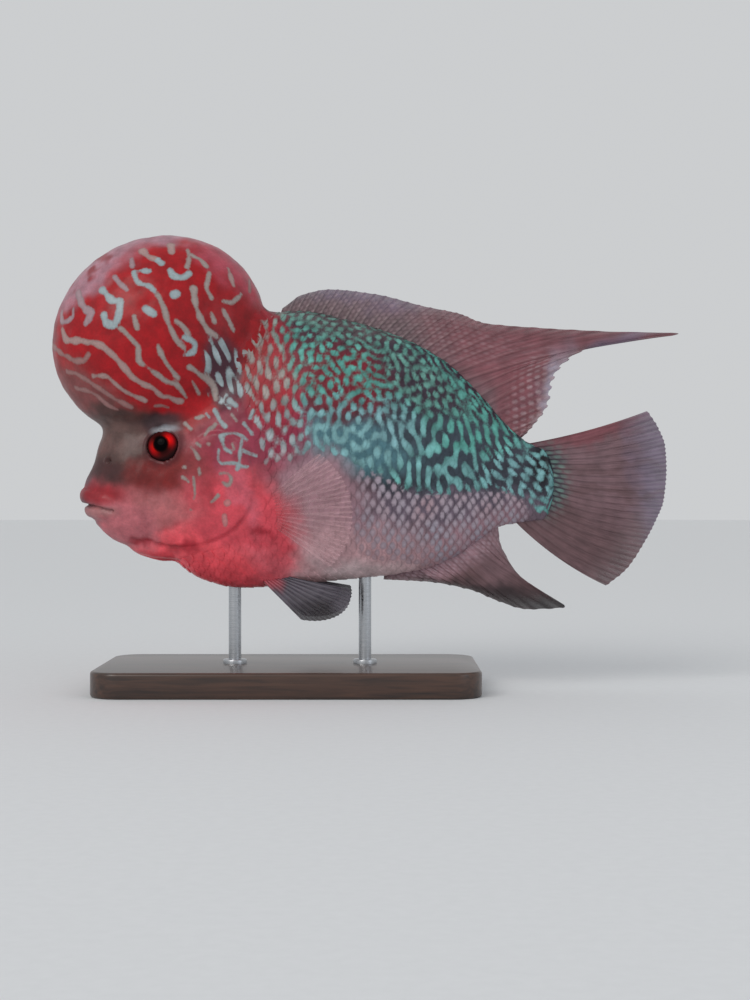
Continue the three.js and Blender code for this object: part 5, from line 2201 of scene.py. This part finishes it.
@dataclass
class Stand:
    """A dark wooden base with rounded corners, and two steel rods with collars."""

    form: BodyForm
    length: float = 150.0
    width: float = 84.0
    height: float = 10.0
    corner: float = 12.0
    edge: float = 1.2
    rod: float = 2.5
    rod_places: tuple[tuple[str, float], ...] = (("front", -22.0), ("rear", 30.0))
    sunk: float = 4.0
    into_belly: float = 3.0
    collar_width: float = 2.2  # how far it stands out from the rod
    collar_height: float = 1.8
    collar_middle: float = 0.8  # how far over the base its middle lies

    def bevel(self, obj: bpy.types.Object, offset: float, segments: int,
              chosen: Callable[[Vector, Vector], bool]) -> None:
        """Rounds the edges of an object that a test chooses.

        Args:
            obj: The object.
            offset: The radius in millimetres.
            segments: Steps in the round.
            chosen: Tells from an edge's ends whether it is rounded.
        """
        activate(obj)
        bpy.ops.object.mode_set(mode="EDIT")
        bpy.ops.mesh.select_mode(type="EDGE")
        bpy.ops.mesh.select_all(action="DESELECT")
        bpy.ops.object.mode_set(mode="OBJECT")
        ends = obj.data.vertices
        for e in obj.data.edges:
            e.select = chosen(ends[e.vertices[0]].co, ends[e.vertices[1]].co)
        bpy.ops.object.mode_set(mode="EDIT")
        bpy.ops.mesh.bevel(offset=offset * MM, segments=segments, affect="EDGES")
        bpy.ops.object.mode_set(mode="OBJECT")

    def build_base(self, finish: bpy.types.Material) -> None:
        """Makes the wooden base.

        Args:
            finish: Its material.
        """
        clear_selection()
        bpy.ops.mesh.primitive_cube_add(size=1)
        obj = bpy.context.active_object
        obj.name = obj.data.name = "stand_base_wood"
        size = np.array([self.length, self.width, self.height])
        points = (read_points(obj.data) * size + np.array([0, 0, self.height / 2])) * MM
        write_points(obj.data, points)
        self.bevel(obj, self.corner, 12, lambda a, b: abs(a.z - b.z) > 5 * MM)
        self.bevel(obj, self.edge, 4, lambda a, b: abs(a.z - b.z) < 1e-6)
        activate(obj)
        bpy.ops.object.shade_smooth_by_angle(angle=math.radians(40))
        obj.data.materials.append(finish)
        finish_piece(obj, "stand_wood", "stand_base")

    def build_rod(self, word: str, x: float, finish: bpy.types.Material) -> None:
        """Makes one rod with a collar where it leaves the base.

        Args:
            word: Which rod.
            x: Its place along the fish.
            finish: Its material.
        """
        top = float(self.form.belly(np.array(x))) + self.into_belly
        bottom = self.height - self.sunk
        clear_selection()
        bpy.ops.mesh.primitive_cylinder_add(
            vertices=48, radius=self.rod * MM, depth=(top - bottom) * MM,
            location=(x * MM, 0, (top + bottom) / 2 * MM))
        rod = bpy.context.active_object
        clear_selection()
        bpy.ops.mesh.primitive_cylinder_add(
            vertices=48, radius=(self.rod + self.collar_width) * MM,
            depth=self.collar_height * MM,
            location=(x * MM, 0, (self.height + self.collar_middle) * MM))
        collar = bpy.context.active_object
        for piece in (rod, collar):
            activate(piece)
            bpy.ops.object.transform_apply(location=True, rotation=True, scale=True)
        self.bevel(collar, 0.5, 3, lambda a, b: abs(a.z - b.z) < 1e-6
                   and a.z > self.height * MM)
        activate(rod)
        collar.select_set(True)
        bpy.ops.object.join()
        rod.name = rod.data.name = f"stand_rod_{word}_steel"
        bpy.ops.object.shade_smooth_by_angle(angle=math.radians(40))
        rod.data.materials.append(finish)
        finish_piece(rod, "stand_steel", f"stand_rod_{word}")

    def build(self) -> None:
        """Makes the whole stand."""
        self.build_base(SatinWalnut("satin_walnut", roughness=0.36, ior=1.5, coat=0.3).build())
        # 1.5 is the default index, which a metal keeps
        steel = BrushedSteel("brushed_stainless", metallic=1.0, ior=1.5).build()
        for word, x in self.rod_places:
            self.build_rod(word, x, steel)


# The studio


@dataclass(frozen=True)
class Studio:
    """Pale floor, soft lights and the camera at the photograph's angle."""

    distance: float = 0.70
    aim: tuple[float, float] = (0.034, 0.0752)
    frame: float = 0.4  # metres across the picture's long side, at the fish
    lights_aim: tuple[float, float, float] = (0.03, 0.0, 0.1)

    def light(self, name: str, kind: str, place: tuple[float, float, float], size: float,
              power: float, tone: str) -> None:
        """Adds one soft light that faces the fish.

        Args:
            name: Its name.
            kind: Blender's name for its kind.
            place: Where it stands, in metres.
            size: A square light's side in metres, or how wide the sun looks in degrees.
            power: Its power in watts, or the sun's strength.
            tone: Its colour.
        """
        data = bpy.data.lights.new(name, kind)
        data.energy, data.color = power, linear(tone)[:3]
        if kind == "SUN":
            data.angle = math.radians(size)
        else:
            data.size = size
        lamp = bpy.data.objects.new(name, data)
        bpy.context.scene.collection.objects.link(lamp)
        lamp.location = place
        aim = Vector(self.lights_aim) - Vector(place)
        lamp.rotation_euler = aim.to_track_quat("-Z", "Y").to_euler()

    def build(self) -> None:
        """Sets up the floor, world, lights and camera."""
        scene = bpy.context.scene
        scene.view_settings.view_transform = "Standard"
        clear_selection()
        bpy.ops.mesh.primitive_circle_add(vertices=96, radius=6, fill_type="NGON")
        floor = bpy.context.active_object
        floor.name = floor.data.name = "studio_floor"
        floor.data.materials.append(PaperFloor("studio_paper", roughness=0.9).build())
        world = bpy.data.worlds.new("studio")
        scene.world = world
        world.use_nodes = True
        back = world.node_tree.nodes["Background"]
        back.inputs["Color"].default_value = linear("#e9ebed")
        back.inputs["Strength"].default_value = 0.74
        self.light("key", "SUN", (-0.55, -0.9, 0.8), 38, 0.85, "#fffaf4")
        self.light("gloss", "AREA", (-0.5, -0.6, 0.6), 0.25, 0.6, "#ffffff")
        self.light("fill", "AREA", (0.8, -0.6, 0.35), 0.5, 0.8, "#eef4ff")
        data = bpy.data.cameras.new("camera")
        data.sensor_width, data.lens = 36, 36 * self.distance / self.frame
        data.sensor_fit = "AUTO"
        camera = bpy.data.objects.new("camera", data)
        scene.collection.objects.link(camera)
        camera.location = (self.aim[0], -self.distance, self.aim[1])
        camera.rotation_euler = (math.pi / 2, 0, 0)
        scene.camera = camera


# The whole model


def main() -> None:
    """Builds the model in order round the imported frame."""
    logging.basicConfig(level=logging.INFO, format="%(name)s: %(message)s")
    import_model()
    form, seat = BodyForm(), EyeSeat()
    rows = ScaleRows(Chart(form))
    marks = Markings(form, rows)
    living = LivingSkin("wet_fish_skin", roughness=0.45, ior=1.3, coat=0.16,
                        coat_roughness=0.16, subsurface=0.08).build()
    scaly = LivingSkin("wet_fish_scales", roughness=0.42, ior=1.3, coat=0.14,
                       coat_roughness=0.2).build()
    skin = Skin(form, seat)
    skin.build(living, marks)
    Coat(rows, form, skin).build(scaly, marks)
    membrane = FinMembrane("fin_membrane", roughness=0.45, ior=1.36, coat=0.15,
                           coat_roughness=0.3, sheer=0.35).build()
    for fin in (dorsal_fin(form), anal_fin(form), caudal_fin()):
        fin.build(membrane)
    clear_membrane = FinMembrane("clear_fin_membrane", roughness=0.4, ior=1.36, coat=0.15,
                                 coat_roughness=0.3, sheer=0.95).build()
    glass = EyeGlass("living_eye", roughness=0.55, ior=1.05, coat=0.05,
                     coat_roughness=0.03).build()
    for side in (-1.0, 1.0):
        pectoral_fin(form, side).build(clear_membrane)
        pelvic_fin(form, side).build(membrane)
        Eye(form, seat, side).build(glass)
    Stand(form).build()
    Studio().build()


if __name__ == "__main__":
    main()
